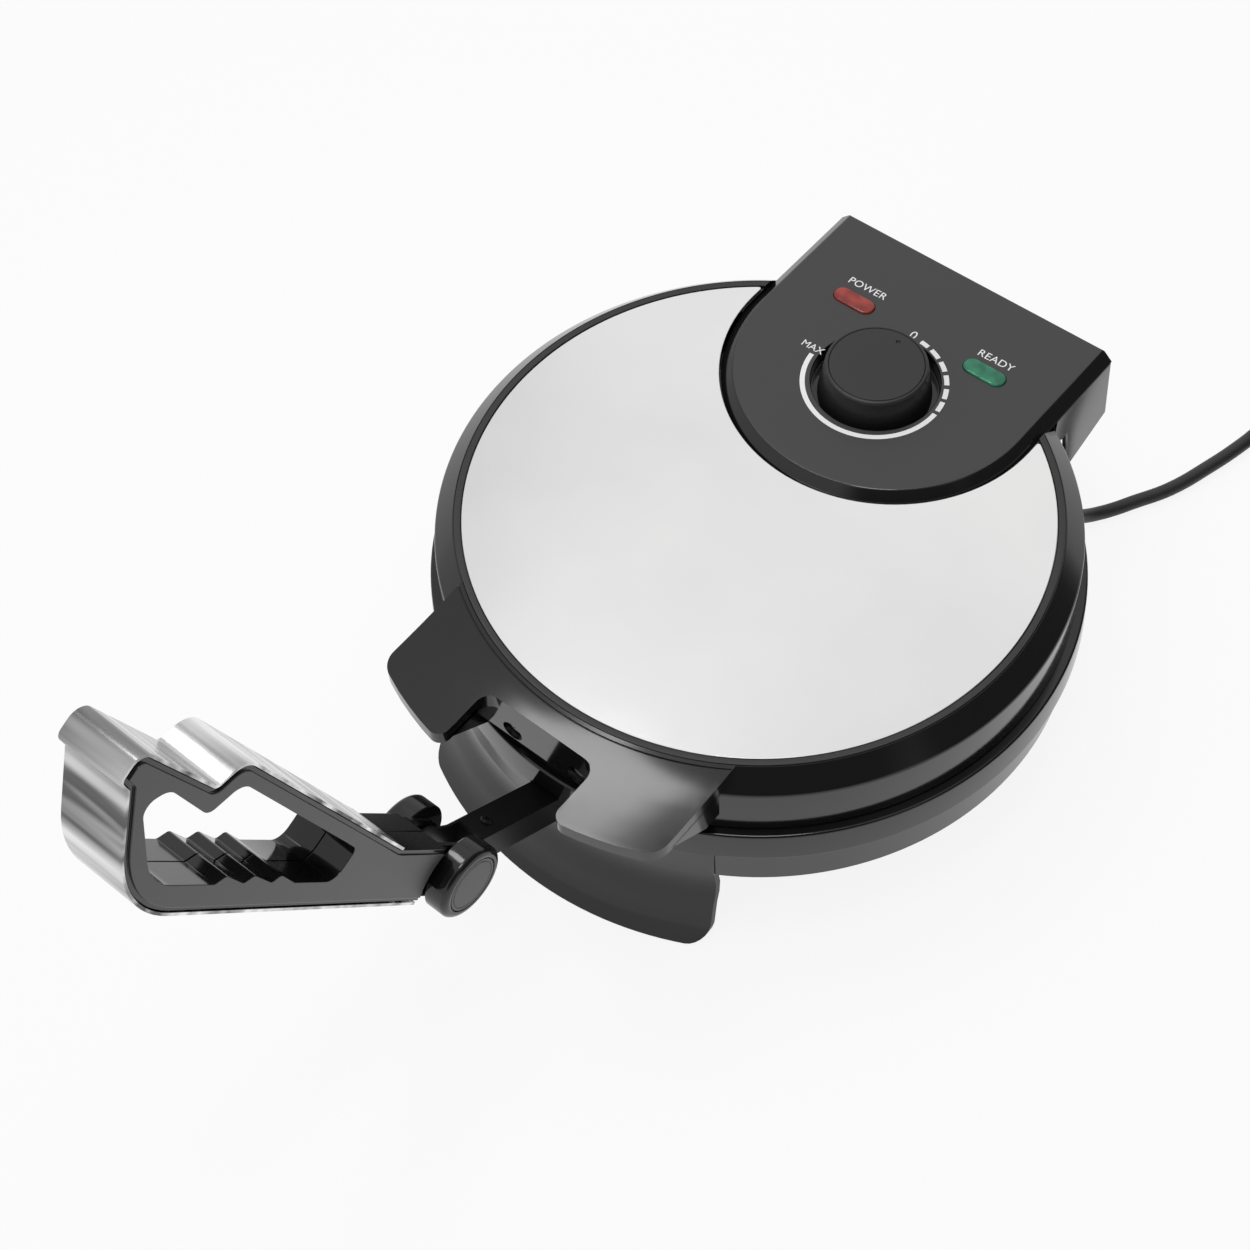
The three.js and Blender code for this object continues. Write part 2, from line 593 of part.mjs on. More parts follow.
// Rear housing: two side walls, a raked rear wall and two hinge ribs, open below
function makeRearHousing() {
  const top = panelFoot - clearance;
  const rear = panelRear + panel.rearBevel;
  const chin = housing.slantLow - (slantFront - housingFront) * 0.4;
  const outline = [
    [-housingFront, chin], [-slantFront, housing.slantLow], [-rear - housing.rake, housing.low],
    [-rear, top], [-lidRadius * 0.8, top], [-lidRadius * 0.8, housing.frontLow],
    [-housingFront + overrun, housing.frontLow], [-housingFront, base.ledgeTop],
  ];
  const side = sideView(0, 0, 0).view;
  const whole = inWorld(raised(outline, -panelEdge, panelEdge), side);
  const inside = panelEdge - housing.wall;
  const rearFace = -rear + housing.wall;
  const hollow = [[0, 0], [rearFace, 0], [rearFace, top + overrun], [0, top + overrun]];
  let made = whole.subtract(inWorld(raised(hollow, -inside, inside), side));
  made = made.subtract(disc(lidFootRadius + clearance, 0, top + overrun, ringSegments));
  const ribs = [-1, 1].map((sign) => hingeRib(sign, top, rear));
  made = made.add(ribs[0]).add(ribs[1]);
  return mesh('rear_housing', made.subtract(pinSpace()), finishes.glossBlack());
}

function hingeRib(sign, top, rear) {
  const rib = [
    [-hingeY + hinge.eye, hinge.z], [-hingeY + hinge.eye, top], [-rear + housing.wall / 2, top],
    [-rear + housing.wall / 2, hinge.z + hinge.eye * 2], [-hingeY - hinge.eye, hinge.z],
  ];
  const plan = raised(rib.slice().reverse(), -housing.rib / 2, housing.rib / 2);
  const web = inWorld(plan, sideView(0, 0, 0).view);
  const eye = moved(alongX(disc(hinge.eye, -housing.rib / 2, housing.rib / 2)), 0, hingeY, hinge.z);
  const clipped = web.subtract(disc(lidFootRadius + clearance, 0, top + overrun, ringSegments));
  return moved(clipped.add(eye), sign * hinge.lidEye, 0, 0);
}

function pinSpace() {
  const reach = hinge.lidEye + housing.rib + overrun;
  return moved(alongX(disc(hinge.pin + clearance, -reach, reach)), 0, hingeY, hinge.z);
}

function makeThermostat() {
  const high = cover.top - dial.wellFloor - dial.wellSheet - clearance;
  const x = thermostat.width / 2;
  const y = thermostat.depth / 2;
  const outline = rounded([[x, -y], [x, y], [-x, y], [-x, -y]], thermostat.chamfer);
  const shell = raised(outline, high - thermostat.height, high);
  const bore = disc(shaft.radius + clearance, high - thermostat.height / 2, high + overrun);
  const made = mesh('thermostat', shell.subtract(bore), finishes.zincSteel());
  made.position.set(0, dialY, 0);
  return made;
}

// Knob and the thermostat's shaft in it
function makeKnob() {
  const low = cover.top - dial.wellFloor + clearance;
  const high = low + knob.height;
  const inner = high - knob.wall;
  const shape = turned([
    [0, inner], [shaft.radius + clearance, inner], [shaft.radius + clearance, low + knob.wall],
    [knob.boss, low + knob.wall], [knob.boss, inner], [knob.top - knob.wall, inner],
    [knob.radius - knob.wall, low], [knob.radius, low], [knob.top, high - knob.dome],
    [knob.top - knob.dome, high], [knob.groove + knob.grooveDepth, high],
    [knob.groove, high - knob.grooveDepth], [knob.groove - knob.grooveDepth, high], [0, high + knob.dome / 2],
  ], innerSegments);
  const dimple = moved(disc(pointer.radius, high - pointer.depth, high + overrun, smallSegments / 2),
    0, pointer.reach, 0);
  const made = mesh('knob', shape.subtract(dimple), finishes.satinBlack());
  made.position.set(0, dialY, 0);
  return made;
}

function makeShaft() {
  const high = cover.top - dial.wellFloor + knob.height - knob.wall;
  const rod = disc(shaft.radius, high - shaft.length, high, smallSegments);
  const flat = block(-overrun * 2, overrun * 2, shaft.radius * 0.7, overrun * 2, high - shaft.length / 2,
    high + overrun);
  const made = mesh('thermostat_shaft', rod.subtract(flat), finishes.zincSteel());
  made.position.set(0, dialY, 0);
  return made;
}

// Base pieces
function makeBaseShell() {
  const ledgeLow = base.ledgeTop - baseWall.sheet;
  const shoulder = baseRadius - base.flare - base.shoulder;
  const footRadius = lowerWallRadius - baseWall.draft;
  const ring = turned([
    [lidInner, base.ledgeTop], [lidInner, base.bandTop], [shoulder, base.bandTop],
    [shoulder + base.shoulder, base.bandTop - base.shoulder], [baseRadius, base.bandLow],
    [lowerWallRadius, base.bandLow - base.bandLip], [footRadius, baseWall.bottom],
    [footRadius - baseWall.sheet, baseWall.bottom],
    [lowerWallRadius - baseWall.sheet, base.bandLow - baseWall.sheet],
    [baseRadius - baseWall.sheet, base.bandLow], [shoulder + base.shoulder - baseWall.sheet, ledgeLow],
    [ledgeInner, ledgeLow], [ledgeInner, base.ledgeTop],
  ]);
  const flat = baseWall.flatHalfWidth;
  const floor = housing.slantLow - hinge.eye - overrun;
  const lowerRound = disc(footRadius, 0, cover.top, ringSegments);
  const rearWall = block(-flat, flat, flatBack - baseWall.sheet, flatBack,
    baseWall.bottom, base.ledgeTop).intersect(lowerRound);
  const rearSpace = block(-flat, flat, flatBack, baseRadius + overrun, floor, cover.top);
  const shelf = block(-flat, flat, flatBack - baseWall.sheet, baseRadius, floor - baseWall.sheet,
    floor).intersect(lowerRound);
  let shell = ring.subtract(frontSpace()).add(rearWall).subtract(rearSpace).add(shelf);
  for (const side of [-1, 1]) shell = shell.add(boltBlock(side));
  shell = shell.subtract(armSpace()).subtract(boltSpace());
  return mesh('base_shell', shell, finishes.glossBlack());
}

// The lower wall stops at the skirt
function frontSpace() {
  const x = skirt.topHalfWidth + clearance;
  const inner = lowerWallRadius - baseWall.sheet - overrun;
  const arc = turned([
    [inner, 0], [lowerWallRadius + clearance, 0], [lowerWallRadius + clearance, base.bandLow - clearance],
    [inner, base.bandLow - clearance],
  ]);
  return arc.intersect(block(-x, x, -baseRadius, 0, 0, base.bandTop));
}

const armView = sideView(pivotY, pivot.z, arm.angle);

function armSpace() {
  const x = arm.halfWidth + clearance * 2;
  const low = arm.top - arm.depth - clearance * 2;
  const high = arm.top + clearance * 2;
  const far = -arm.length - overrun;
  const tunnel = raised([[far, low], [-arm.start, low], [-arm.start, high], [far, high]], -x, x);
  return inWorld(tunnel, armView.view);
}

function boltPlace() {
  const angle = THREE.MathUtils.degToRad(arm.angle);
  const y = -pivotY + armBoltBack * Math.cos(angle) - armBolt.drop * Math.sin(angle);
  const z = pivot.z - armBoltBack * Math.sin(angle) - armBolt.drop * Math.cos(angle);
  return [y, z];
}

// A rib on each side of the arm that its cross bolt runs through
function boltBlock(side) {
  const [y, z] = boltPlace();
  const x = arm.halfWidth + clearance * 2;
  const half = armBolt.block;
  const near = side > 0 ? x : -x - armBolt.cheek;
  const front = -lowerWallRadius + baseWall.sheet + clearance * 4;
  return block(near, near + armBolt.cheek, front, y + half, z - half, base.ledgeTop - baseWall.sheet / 2);
}

function boltSpace() {
  const [y, z] = boltPlace();
  const reach = arm.halfWidth * 3;
  return moved(alongX(disc(armBolt.radius + clearance, -reach, reach)), 0, y, z);
}

function makeArmBolt() {
  const reach = arm.halfWidth + armBolt.cheek + clearance * 4;
  const rod = turned([
    [0, -reach - armBolt.headHeight], [armBolt.head, -reach - armBolt.headHeight], [armBolt.head, -reach],
    [armBolt.radius, -reach], [armBolt.radius, reach], [0, reach],
  ], smallSegments);
  const [y, z] = boltPlace();
  const made = mesh('arm_bolt', alongX(rod), finishes.zincSteel());
  made.position.set(0, y, z);
  return made;
}

// The flared skirt that carries the front down to the table
function makeSkirt() {
  const flareShares = [[0.03, 0.66], [0.34, 0.43], [0.61, 0.2], [1, 0]];
  const drop = skirt.knee - skirt.bottom;
  const reach = skirtReach - lowerWallRadius;
  const outer = flareShares.map(([out, up]) => [lowerWallRadius + out * reach, skirt.bottom + up * drop]);
  const inner = outer.map(([radius, height]) => [radius - skirt.sheet, height]).reverse();
  const top = lowerWallRadius - clearance;
  const ring = turned([
    [top, skirt.top], [top, base.bandLow], [lowerWallRadius, skirt.knee], ...outer,
    ...inner, [lowerWallRadius - skirt.sheet, skirt.knee], [top - skirt.sheet, skirt.top],
  ]);
  const high = skirt.top + overrun;
  const front = rounded([
    [-skirt.topHalfWidth, high], [-skirt.topHalfWidth, baseWall.bottom],
    [-skirt.cornerHalfWidth, skirt.bottom], [skirt.cornerHalfWidth, skirt.bottom],
    [skirt.topHalfWidth, baseWall.bottom], [skirt.topHalfWidth, high],
  ], [0, skirt.corner, skirt.corner, skirt.corner, skirt.corner, 0]);
  const window = raised(front, 0, skirtReach + overrun).rotate([90, 0, 0]);
  return mesh('front_skirt', ring.intersect(window).subtract(armSpace()), finishes.glossBlack());
}

function makeUndersideCover() {
  const high = baseWall.bottom - clearance;
  const rim = lowerWallRadius - baseWall.draft - baseWall.sheet - clearance;
  const low = high - pan.sheet;
  let cap = turned([
    [0, pan.height], [panFloor, pan.height], [panBrim, low], [rim, low], [rim, high],
    [panBrim - pan.sheet / 2, high], [panFloor - pan.sheet / 2, pan.height + pan.sheet],
    [0, pan.height + pan.sheet],
  ], innerSegments);
  for (let i = 0; i < pan.vents; i += 1) {
    const y = (i - (pan.vents - 1) / 2) * pan.ventPitch;
    cap = cap.subtract(block(-pan.ventLength / 2, pan.ventLength / 2, y - pan.vent / 2, y + pan.vent / 2,
      0, pan.height + overrun * 2));
  }
  return mesh('underside_cover', cap.subtract(glandSpace()), finishes.satinBlack());
}

function makeFoot(name, angle) {
  const high = pan.height - clearance;
  const made = mesh(name, turned([
    [0, 0], [foot.toe, 0], [foot.radius, high * 0.5], [foot.radius, high], [0, high],
  ], smallSegments), finishes.rubber());
  made.position.set(footRing * Math.sin(angle), footRing * Math.cos(angle), 0);
  return made;
}

function makeHingeBracket() {
  const near = flatBack + clearance;
  const back = block(-hingePlate.halfWidth, hingePlate.halfWidth, near, near + hinge.plateSheet,
    hingePlate.low, hingePlate.high);
  let bracket = back;
  for (const side of [-1, 1]) {
    const half = hinge.eyeWidth / 2;
    const web = block(-half, half, near, hingeY, hinge.z - hinge.eye, hinge.z + hinge.eye);
    const eye = moved(alongX(disc(hinge.eye, -half, half)), 0, hingeY, hinge.z);
    bracket = bracket.add(moved(web.add(eye), side * hinge.baseEye, 0, 0));
  }
  return mesh('hinge_bracket', bracket.subtract(pinSpace()), finishes.zincSteel());
}

function makeHingePin() {
  const reach = hinge.lidEye + housing.rib;
  const rod = moved(alongX(disc(hinge.pin, -reach, reach)), 0, hingeY, hinge.z);
  return mesh('hinge_pin', rod, finishes.zincSteel());
}

function makeTerminalBlock() {
  const low = pan.height + pan.sheet + clearance;
  const width = thermostat.width;
  const depth = thermostat.depth / 2;
  let blockBody = block(-width / 2, width / 2, -depth / 2, depth / 2, low, low + thermostat.height);
  for (const side of [-1, 0, 1]) {
    const hole = disc(lamp.radius, low + thermostat.height / 3, low + thermostat.height + overrun,
      smallSegments / 2);
    blockBody = blockBody.subtract(moved(hole, (side * width) / 3, 0, 0));
  }
  const made = mesh('terminal_block', blockBody, finishes.clearGlass());
  made.position.set(thermostat.width, footRing * 0.8, 0);
  return made;
}

// Press lever: arm
function makeArm() {
  const low = arm.top - arm.depth;
  const side = [[-arm.length, low], [-arm.lug, low], [-arm.lug, arm.top], [-arm.length, arm.top]];
  const lug = disc(arm.lug, -arm.halfWidth, arm.halfWidth);
  const neck = raised([[-arm.lug * 1.6, low], [0, -arm.lug], [0, arm.lug * 0.9], [-arm.lug * 1.6, arm.top]],
    -arm.halfWidth, arm.halfWidth);
  const inner = arm.halfWidth - arm.sheet;
  const hollow = raised([[-arm.length - overrun, low - overrun], [-arm.start, low - overrun],
    [-arm.start, arm.top - arm.sheet], [-arm.length - overrun, arm.top - arm.sheet]], -inner, inner);
  const fork = raised([[-arm.start, -arm.depth * 2], [arm.lug * 2, -arm.depth * 2],
    [arm.lug * 2, arm.depth * 2], [-arm.start, arm.depth * 2]], -inner, inner);
  let channel = raised(side, -arm.halfWidth, arm.halfWidth).add(neck).add(lug);
  channel = channel.subtract(hollow).subtract(fork);
  channel = channel.subtract(disc(pivot.pin + clearance, -arm.depth, arm.depth));
  channel = channel.subtract(moved(disc(armBolt.radius + clearance, -arm.depth, arm.depth),
    -armBoltBack, -armBolt.drop, 0));
  const screwHole = disc(armScrew.radius + clearance, -overrun, arm.depth).rotate([-90, 0, 0]);
  channel = channel.subtract(moved(screwHole, -armScrew.back, 0, 0));
  return mesh('arm', channel, finishes.paintedSteel());
}

function makeArmScrew() {
  const shape = turned([
    [0, -armScrew.length], [armScrew.radius, -armScrew.length], [armScrew.radius, 0], [armScrew.head, 0],
    [armScrew.head * 0.85, armScrew.headHeight], [0, armScrew.headHeight],
  ], smallSegments);
  const made = mesh('arm_screw', shape.rotate([-90, 0, 0]), finishes.paintedSteel());
  made.position.set(-armScrew.back, arm.top + clearance, 0);
  return made;
}

function makeArmInsert() {
  const half = arm.halfWidth - arm.sheet - clearance;
  const high = arm.top - arm.sheet - clearance;
  const far = -insert.start - insert.length;
  const low = high - insert.height;
  const filler = raised([[far, low], [-insert.start, low], [-insert.start, high], [far, high]], -half, half);
  const pilot = disc(armScrew.radius + clearance, -insert.height * 2, insert.height * 2).rotate([-90, 0, 0]);
  return mesh('arm_insert', filler.subtract(moved(pilot, -armScrew.back, 0, 0)), finishes.satinBlack());
}

// Press lever: handle
function handlePoint([along, up]) {
  return [along * handle.length, up * handle.height - handle.below];
}

const handleCore = rounded(handleShares.map(handlePoint), handleRounds);
const wrapInner = drawnIn(handleCore, -clearance);
const wrapOuter = drawnIn(handleCore, -clearance - handle.wrap);
const holeOutline = rounded(holeShares.map(handlePoint), holeRounds);

function slabBetween(outline, side, near, far) {
  return side > 0 ? raised(outline, near, far) : raised(outline, -far, -near);
}

function pocketSpace(margin) {
  const reach = handle.halfWidth + overrun;
  const space = disc(cheek.pocket + margin, -reach, reach, innerSegments / 2);
  return space.subtract(disc(cheek.pocket + overrun * 2, -cheek.outer, cheek.outer, innerSegments / 2));
}

function makeHandleHalf(name, side) {
  const seam = clearance / 2;
  let half = slabBetween(handleCore, side, seam, handle.halfWidth);
  const low = -handle.below;
  const [near, high] = handlePoint(handleShares[handleShares.length - 1]);
  const cheekPlate = slabBetween([[0, low], [near + overrun, low], [near + overrun, high], [0, high]],
    side, cheek.inner, cheek.outer);
  const eyeLow = side > 0 ? cheek.inner : -cheek.outer;
  const eye = disc(cheek.radius, eyeLow, eyeLow + cheek.outer - cheek.inner);
  half = half.add(cheekPlate).add(eye);
  half = half.subtract(raised(holeOutline, -handle.halfWidth - overrun, handle.halfWidth + overrun));
  half = half.subtract(pocketSpace(0)).subtract(disc(pivot.pin + clearance, -cap.outer, cap.outer));
  for (const place of handleScrewShares) half = half.subtract(handleScrewSpace(place));
  return mesh(name, half, finishes.satinBlack());
}

function makeHandleWrap() {
  const reach = handle.halfWidth - clearance;
  const outer = raised(wrapOuter, -reach, reach);
  const inner = raised(wrapInner, -reach - overrun, reach + overrun);
  const open = raised([[-overrun, -handle.height], [handle.wrapStart, -handle.height], [handle.wrapStart, 0],
    [handle.wrapTopStart, 0], [handle.wrapTopStart, handle.height], [-overrun, handle.height]],
  -reach - overrun, reach + overrun);
  const strip = outer.subtract(inner).subtract(open).subtract(pocketSpace(clearance));
  return mesh('handle_wrap', strip, finishes.polishedSteel());
}

// Screws that hold the two halves together, driven from the left
function handleScrewSpace(place) {
  const [u, v] = handlePoint(place);
  const face = handle.halfWidth;
  const head = disc(handleScrew.head + clearance, face - handleScrew.headDepth, face + overrun);
  const bore = disc(handleScrew.radius + clearance, -handleScrew.length / 2, handle.halfWidth);
  return moved(head.add(bore), u, v, 0);
}

function makeHandleScrew(name, place) {
  const [u, v] = handlePoint(place);
  const seat = handle.halfWidth - handleScrew.headDepth + clearance;
  const shape = turned([
    [0, seat - handleScrew.length], [handleScrew.radius, seat - handleScrew.length],
    [handleScrew.radius, seat], [handleScrew.head, seat],
    [handleScrew.head * 0.8, seat + handleScrew.headDepth * 0.6],
    [0, seat + handleScrew.headDepth * 0.6],
  ], smallSegments);
  const made = mesh(name, shape, finishes.zincSteel());
  made.position.set(u, v, 0);
  return made;
}

function makePivotPin() {
  const reach = cap.outer - cap.inlayDepth - cap.inlaySheet - clearance;
  return mesh('pivot_pin', disc(pivot.pin, -reach, reach), finishes.zincSteel());
}

function makeCap(name, side) {
  const seat = cap.outer - cap.inlayDepth;
  const shape = turned([
    [pivot.pin + clearance, cap.inner], [cap.radius, cap.inner], [cap.radius, cap.outer - cap.round],
    [cap.radius - cap.round * 0.3, cap.outer - cap.round * 0.3], [cap.radius - cap.round, cap.outer],
    [cap.inlay + clearance, cap.outer], [cap.inlay + clearance, seat], [pivot.pin + clearance, seat],
  ], innerSegments);
  const made = mesh(name, shape, finishes.glossBlack());
  if (side < 0) made.rotation.x = Math.PI;
  return made;
}

function makeCapInlay(name, side) {
  const seat = cap.outer - cap.inlayDepth + clearance;
  const made = mesh(name, disc(cap.inlay, seat, seat + cap.inlaySheet, innerSegments), finishes.satinBlack());
  if (side < 0) made.rotation.x = Math.PI;
  return made;
}

// Mains lead
const glandAngle = THREE.MathUtils.degToRad(gland.angle);
const glandOut = [Math.cos(glandAngle), Math.sin(glandAngle)];
const glandStart = panBrim;

function glandSpace() {
  const hole = disc(gland.radius + clearance, -gland.inside - overrun, gland.inside);
  return hole.rotate([0, 90, 0]).rotate([0, 0, gland.angle])
    .translate([glandOut[0] * glandStart, glandOut[1] * glandStart, gland.height]);
}

function makeGland() {
  const seat = clearance;
  const shape = turned([
    [0, -gland.inside], [gland.radius, -gland.inside], [gland.radius, seat], [gland.collar, seat],
    [gland.collar, seat + gland.collarSheet], [gland.radius, seat + gland.collarSheet * 1.6],
    [gland.tip, gland.length], [0, gland.length],
  ], smallSegments);
  const made = mesh('cord_gland', shape, finishes.rubber());
  made.position.set(glandOut[0] * glandStart, glandOut[1] * glandStart, gland.height);
  made.rotation.set(0, Math.PI / 2, 0);
  made.rotation.order = 'ZYX';
  made.rotation.z = glandAngle;
  return made;
}

function glandEnd(extra) {
  const radius = glandStart + gland.length + extra;
  return [glandOut[0] * radius, glandOut[1] * radius, gland.height];
}

const glandTip = glandEnd(0);
const coilX = glandTip[0] + coil.right;
const coilY = glandTip[1] + coil.behind;
const plugX = coilX + plug.right;
const plugY = coilY - plug.before;

// The loose stretch from the gland to the coil, laid by hand: steps from the gland's tip, and heights
const runSteps = [
  [8, 15, 20], [11.1, 26.2, 13], [13.2, 32.7, 8.3], [16.4, 40.2, 5.2], [21, 48.6, cord.lift],
  [25.2, 56.3, cord.lift], [35.6, 75.5, cord.lift], [43.6, 100.2, cord.lift], [48, 117.3, cord.lift],
  [50.9, 133, cord.lift],
];

function coilPoint(turn) {
  const angle = Math.PI - 2 * Math.PI * turn;
  const inward = coil.pitch * Math.min(turn, coil.turns - turn);
  const radius = coil.outer - inward;
  const [climbStart, climbEnd] = [(coil.turns - coil.climb) / 2, (coil.turns + coil.climb) / 2];
  const height = cord.lift + coil.pitch * THREE.MathUtils.smoothstep(turn, climbStart, climbEnd);
  return [coilX + radius * Math.cos(angle), coilY + radius * Math.sin(angle), height];
}

function coilPoints() {
  const steps = Math.round(coil.turns * coil.stepsPerTurn);
  const points = [];
  for (let i = 0; i <= steps; i += 1) points.push(coilPoint((coil.turns * i) / steps));
  const first = points[0];
  const last = points[points.length - 1];
  points.unshift([first[0], first[1] - cord.diameter, first[2]]);
  points.push([last[0], last[1] - cord.diameter, last[2]]);
  return points;
}

const coilRoute = coilPoints();
const coilStart = coilRoute[0];
const coilEnd = coilRoute[coilRoute.length - 1];

function leastGap(points) {
  let least = Infinity;
  points.forEach((a, i) => {
    for (let j = i + 1; j < points.length; j += 1) {
      const along = (j - i) * ((2 * Math.PI * coil.outer) / coil.stepsPerTurn);
      if (along < cord.diameter * 3) continue;
      const b = points[j];
      least = Math.min(least, Math.hypot(a[0] - b[0], a[1] - b[1], a[2] - b[2]) - cord.diameter);
    }
  });
  return least;
}
console.log('least gap of the coil to itself, mm:', leastGap(coilRoute).toFixed(2));

function makeCordRun() {
  const start = glandEnd(clearance);
  const straight = glandEnd(cord.diameter * 0.8);
  const end = [coilStart[0], coilStart[1] - clearance, coilStart[2]];
  const beforeEnd = [coilStart[0], coilStart[1] - cord.diameter, coilStart[2]];
  const run = runSteps.map(([x, y, z]) => [glandTip[0] + x, glandTip[1] + y, z]);
  const points = [start, straight, ...run, beforeEnd, end];
  return mesh('cord_run', swept(points, cord.diameter / 2, cord.sides, 24), finishes.cordSheath());
}

function makeCordCoil() {
  const tube = swept(coilRoute, cord.diameter / 2, coil.sides, coilRoute.length - 1);
  return mesh('cord_coil', tube, finishes.cordSheath());
}

// The tail sags a little on its way from the coil's upper turn to the plug: steps from the plug
const tailSteps = [[3, 69, 10.7], [2.6, 59, 9.2], [1.2, 50, 8.9]];

function makeCordTail() {
  const start = [coilEnd[0], coilEnd[1] - clearance, coilEnd[2]];
  const afterStart = [coilEnd[0], coilEnd[1] - cord.diameter, coilEnd[2]];
  const end = [plugX, plugY + plug.length / 2 + sleeve.length + clearance, plug.height / 2];
  const beforeEnd = [plugX, end[1] + cord.diameter * 0.7, plug.height / 2];
  const tail = tailSteps.map(([x, y, z]) => [plugX + x, plugY + y, z]);
  const points = [start, afterStart, ...tail, beforeEnd, end];
  return mesh('cord_tail', swept(points, cord.diameter / 2, cord.sides, 12), finishes.cordSheath());
}

function makePlug() {
  const x = plug.width / 2;
  const y = plug.length / 2;
  const outline = rounded([[x, -y], [x - plug.taper, y], [-x + plug.taper, y], [-x, -y]], plug.corner);
  let shell = raised(outline, 0, plug.height);
  const collar = turned([
    [0, 0], [sleeve.radius, 0], [sleeve.radius, overrun], [sleeve.tip, sleeve.length + overrun],
    [0, sleeve.length + overrun],
  ], smallSegments);
  shell = shell.add(moved(collar.rotate([-90, 0, 0]), 0, y - overrun, plug.height / 2));
  for (const [px, py, width, sheet] of pinPlaces()) {
    const space = block(px - width / 2 - clearance, px + width / 2 + clearance,
      py - sheet / 2 - clearance, py + sheet / 2 + clearance, plug.height / 2, plug.height + overrun);
    shell = shell.subtract(space);
  }
  const made = mesh('plug_body', shell, finishes.satinBlack());
  made.position.set(plugX, plugY, 0);
  return made;
}

function pinPlaces() {
  return [
    [-plugPin.spread, plugPin.row, plugPin.width, plugPin.sheet],
    [plugPin.spread, plugPin.row, plugPin.width, plugPin.sheet],
    [0, -plugPin.earthRow, plugPin.sheet, plugPin.width * 1.25],
  ];
}

function makePlugPin(name, index) {
  const [px, py, width, sheet] = pinPlaces()[index];
  const high = plug.height + (index === 2 ? plugPin.earthLength : plugPin.length);
  const blade = block(-width / 2, width / 2, -sheet / 2, sheet / 2, plug.height / 2 + clearance, high);
  const made = mesh(name, blade, finishes.brass());
  made.position.set(plugX + px, plugY + py, 0);
  return made;
}

// Assembly
lidGroup.add(makeSteelCover(), makeTrimRing(), makeLidShell(), makeControlPanel(), makeRearHousing());
lidGroup.add(makePlate('upper_plate', true), makeElement('upper_element', true));
lidGroup.add(makeShield('upper_shield', true));
lidGroup.add(makeThermostat(), makeKnob(), makeShaft());
lidGroup.add(makeLens('red_lens', -1, finishes.redLens()), makeLens('green_lens', 1, finishes.greenLens()));
lidGroup.add(makeLamp('red_lamp', -1), makeLamp('green_lamp', 1));
lidGroup.add(makeFrontScrew('lid_screw_left', -1), makeFrontScrew('lid_screw_right', 1));

body.add(makeBaseShell(), makeSkirt(), makeUndersideCover(), makeHingeBracket(), makeHingePin());
body.add(makePlate('lower_plate', false), makeElement('lower_element', false));
body.add(makeShield('lower_shield', false));
body.add(makeTerminalBlock(), makeArmBolt());
const footAngles = [foot.angle, -foot.angle, 180 - foot.angle, 180 + foot.angle];
footAngles.forEach((angle, i) => {
  const name = ['foot_rear_right', 'foot_rear_left', 'foot_front_right', 'foot_front_left'][i];
  body.add(makeFoot(name, THREE.MathUtils.degToRad(angle)));
});

armView.view.add(makeArm(), makeArmScrew(), makeArmInsert());
body.add(armView.tilt);

const handleView = sideView(pivotY, pivot.z, handle.angle);
handleView.view.add(makeHandleHalf('handle_half_left', 1), makeHandleHalf('handle_half_right', -1));
handleView.view.add(makeHandleWrap());
handleScrewShares.forEach((place, i) => handleView.view.add(makeHandleScrew(`handle_screw_${i + 1}`, place)));
handleView.view.add(makePivotPin(), makeCap('pivot_cap_left', 1), makeCap('pivot_cap_right', -1));
handleView.view.add(makeCapInlay('cap_inlay_left', 1), makeCapInlay('cap_inlay_right', -1));
body.add(handleView.tilt);

const lead = new THREE.Group();
lead.add(makeGland(), makeCordRun(), makeCordCoil(), makeCordTail(), makePlug());
['plug_pin_live', 'plug_pin_neutral', 'plug_pin_earth'].forEach((name, i) => lead.add(makePlugPin(name, i)));

// The origin is at the middle of the footprint of all but the lead
const bounds = new THREE.Box3().setFromObject(body, true);
const rotiMaker = new THREE.Group();
rotiMaker.add(body, lead);
rotiMaker.position.y = -(bounds.min.y + bounds.max.y) / 2;
console.log('shift of the origin along Y, mm:', rotiMaker.position.y.toFixed(3));

export default rotiMaker;
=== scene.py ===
import json
import math

import bpy
from mathutils import Matrix, Vector


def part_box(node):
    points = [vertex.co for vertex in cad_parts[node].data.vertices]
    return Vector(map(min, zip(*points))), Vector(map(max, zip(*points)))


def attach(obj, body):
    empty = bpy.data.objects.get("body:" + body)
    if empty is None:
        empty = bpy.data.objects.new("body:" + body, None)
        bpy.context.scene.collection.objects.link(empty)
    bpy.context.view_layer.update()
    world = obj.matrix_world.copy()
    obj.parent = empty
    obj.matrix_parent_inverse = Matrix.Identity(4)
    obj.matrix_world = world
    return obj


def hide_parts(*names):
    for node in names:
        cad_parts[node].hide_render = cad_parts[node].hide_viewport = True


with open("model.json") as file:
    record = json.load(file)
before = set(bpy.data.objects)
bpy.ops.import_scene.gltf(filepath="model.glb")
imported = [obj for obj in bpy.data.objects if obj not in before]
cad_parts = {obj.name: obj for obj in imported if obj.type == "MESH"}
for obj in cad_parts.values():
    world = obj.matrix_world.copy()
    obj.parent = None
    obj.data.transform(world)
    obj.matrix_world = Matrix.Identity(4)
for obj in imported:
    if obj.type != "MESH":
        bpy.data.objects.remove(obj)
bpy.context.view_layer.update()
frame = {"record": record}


# Camera
# The photograph is taken from above the front right corner, with a long lens and a slight roll.
camera_spot = Vector((0.3507, -0.38322, 0.8601))
camera_azimuth = math.radians(42.95)
camera_height = math.radians(55.2)
camera_roll = math.radians(-4.09)
camera_lens = 62.37

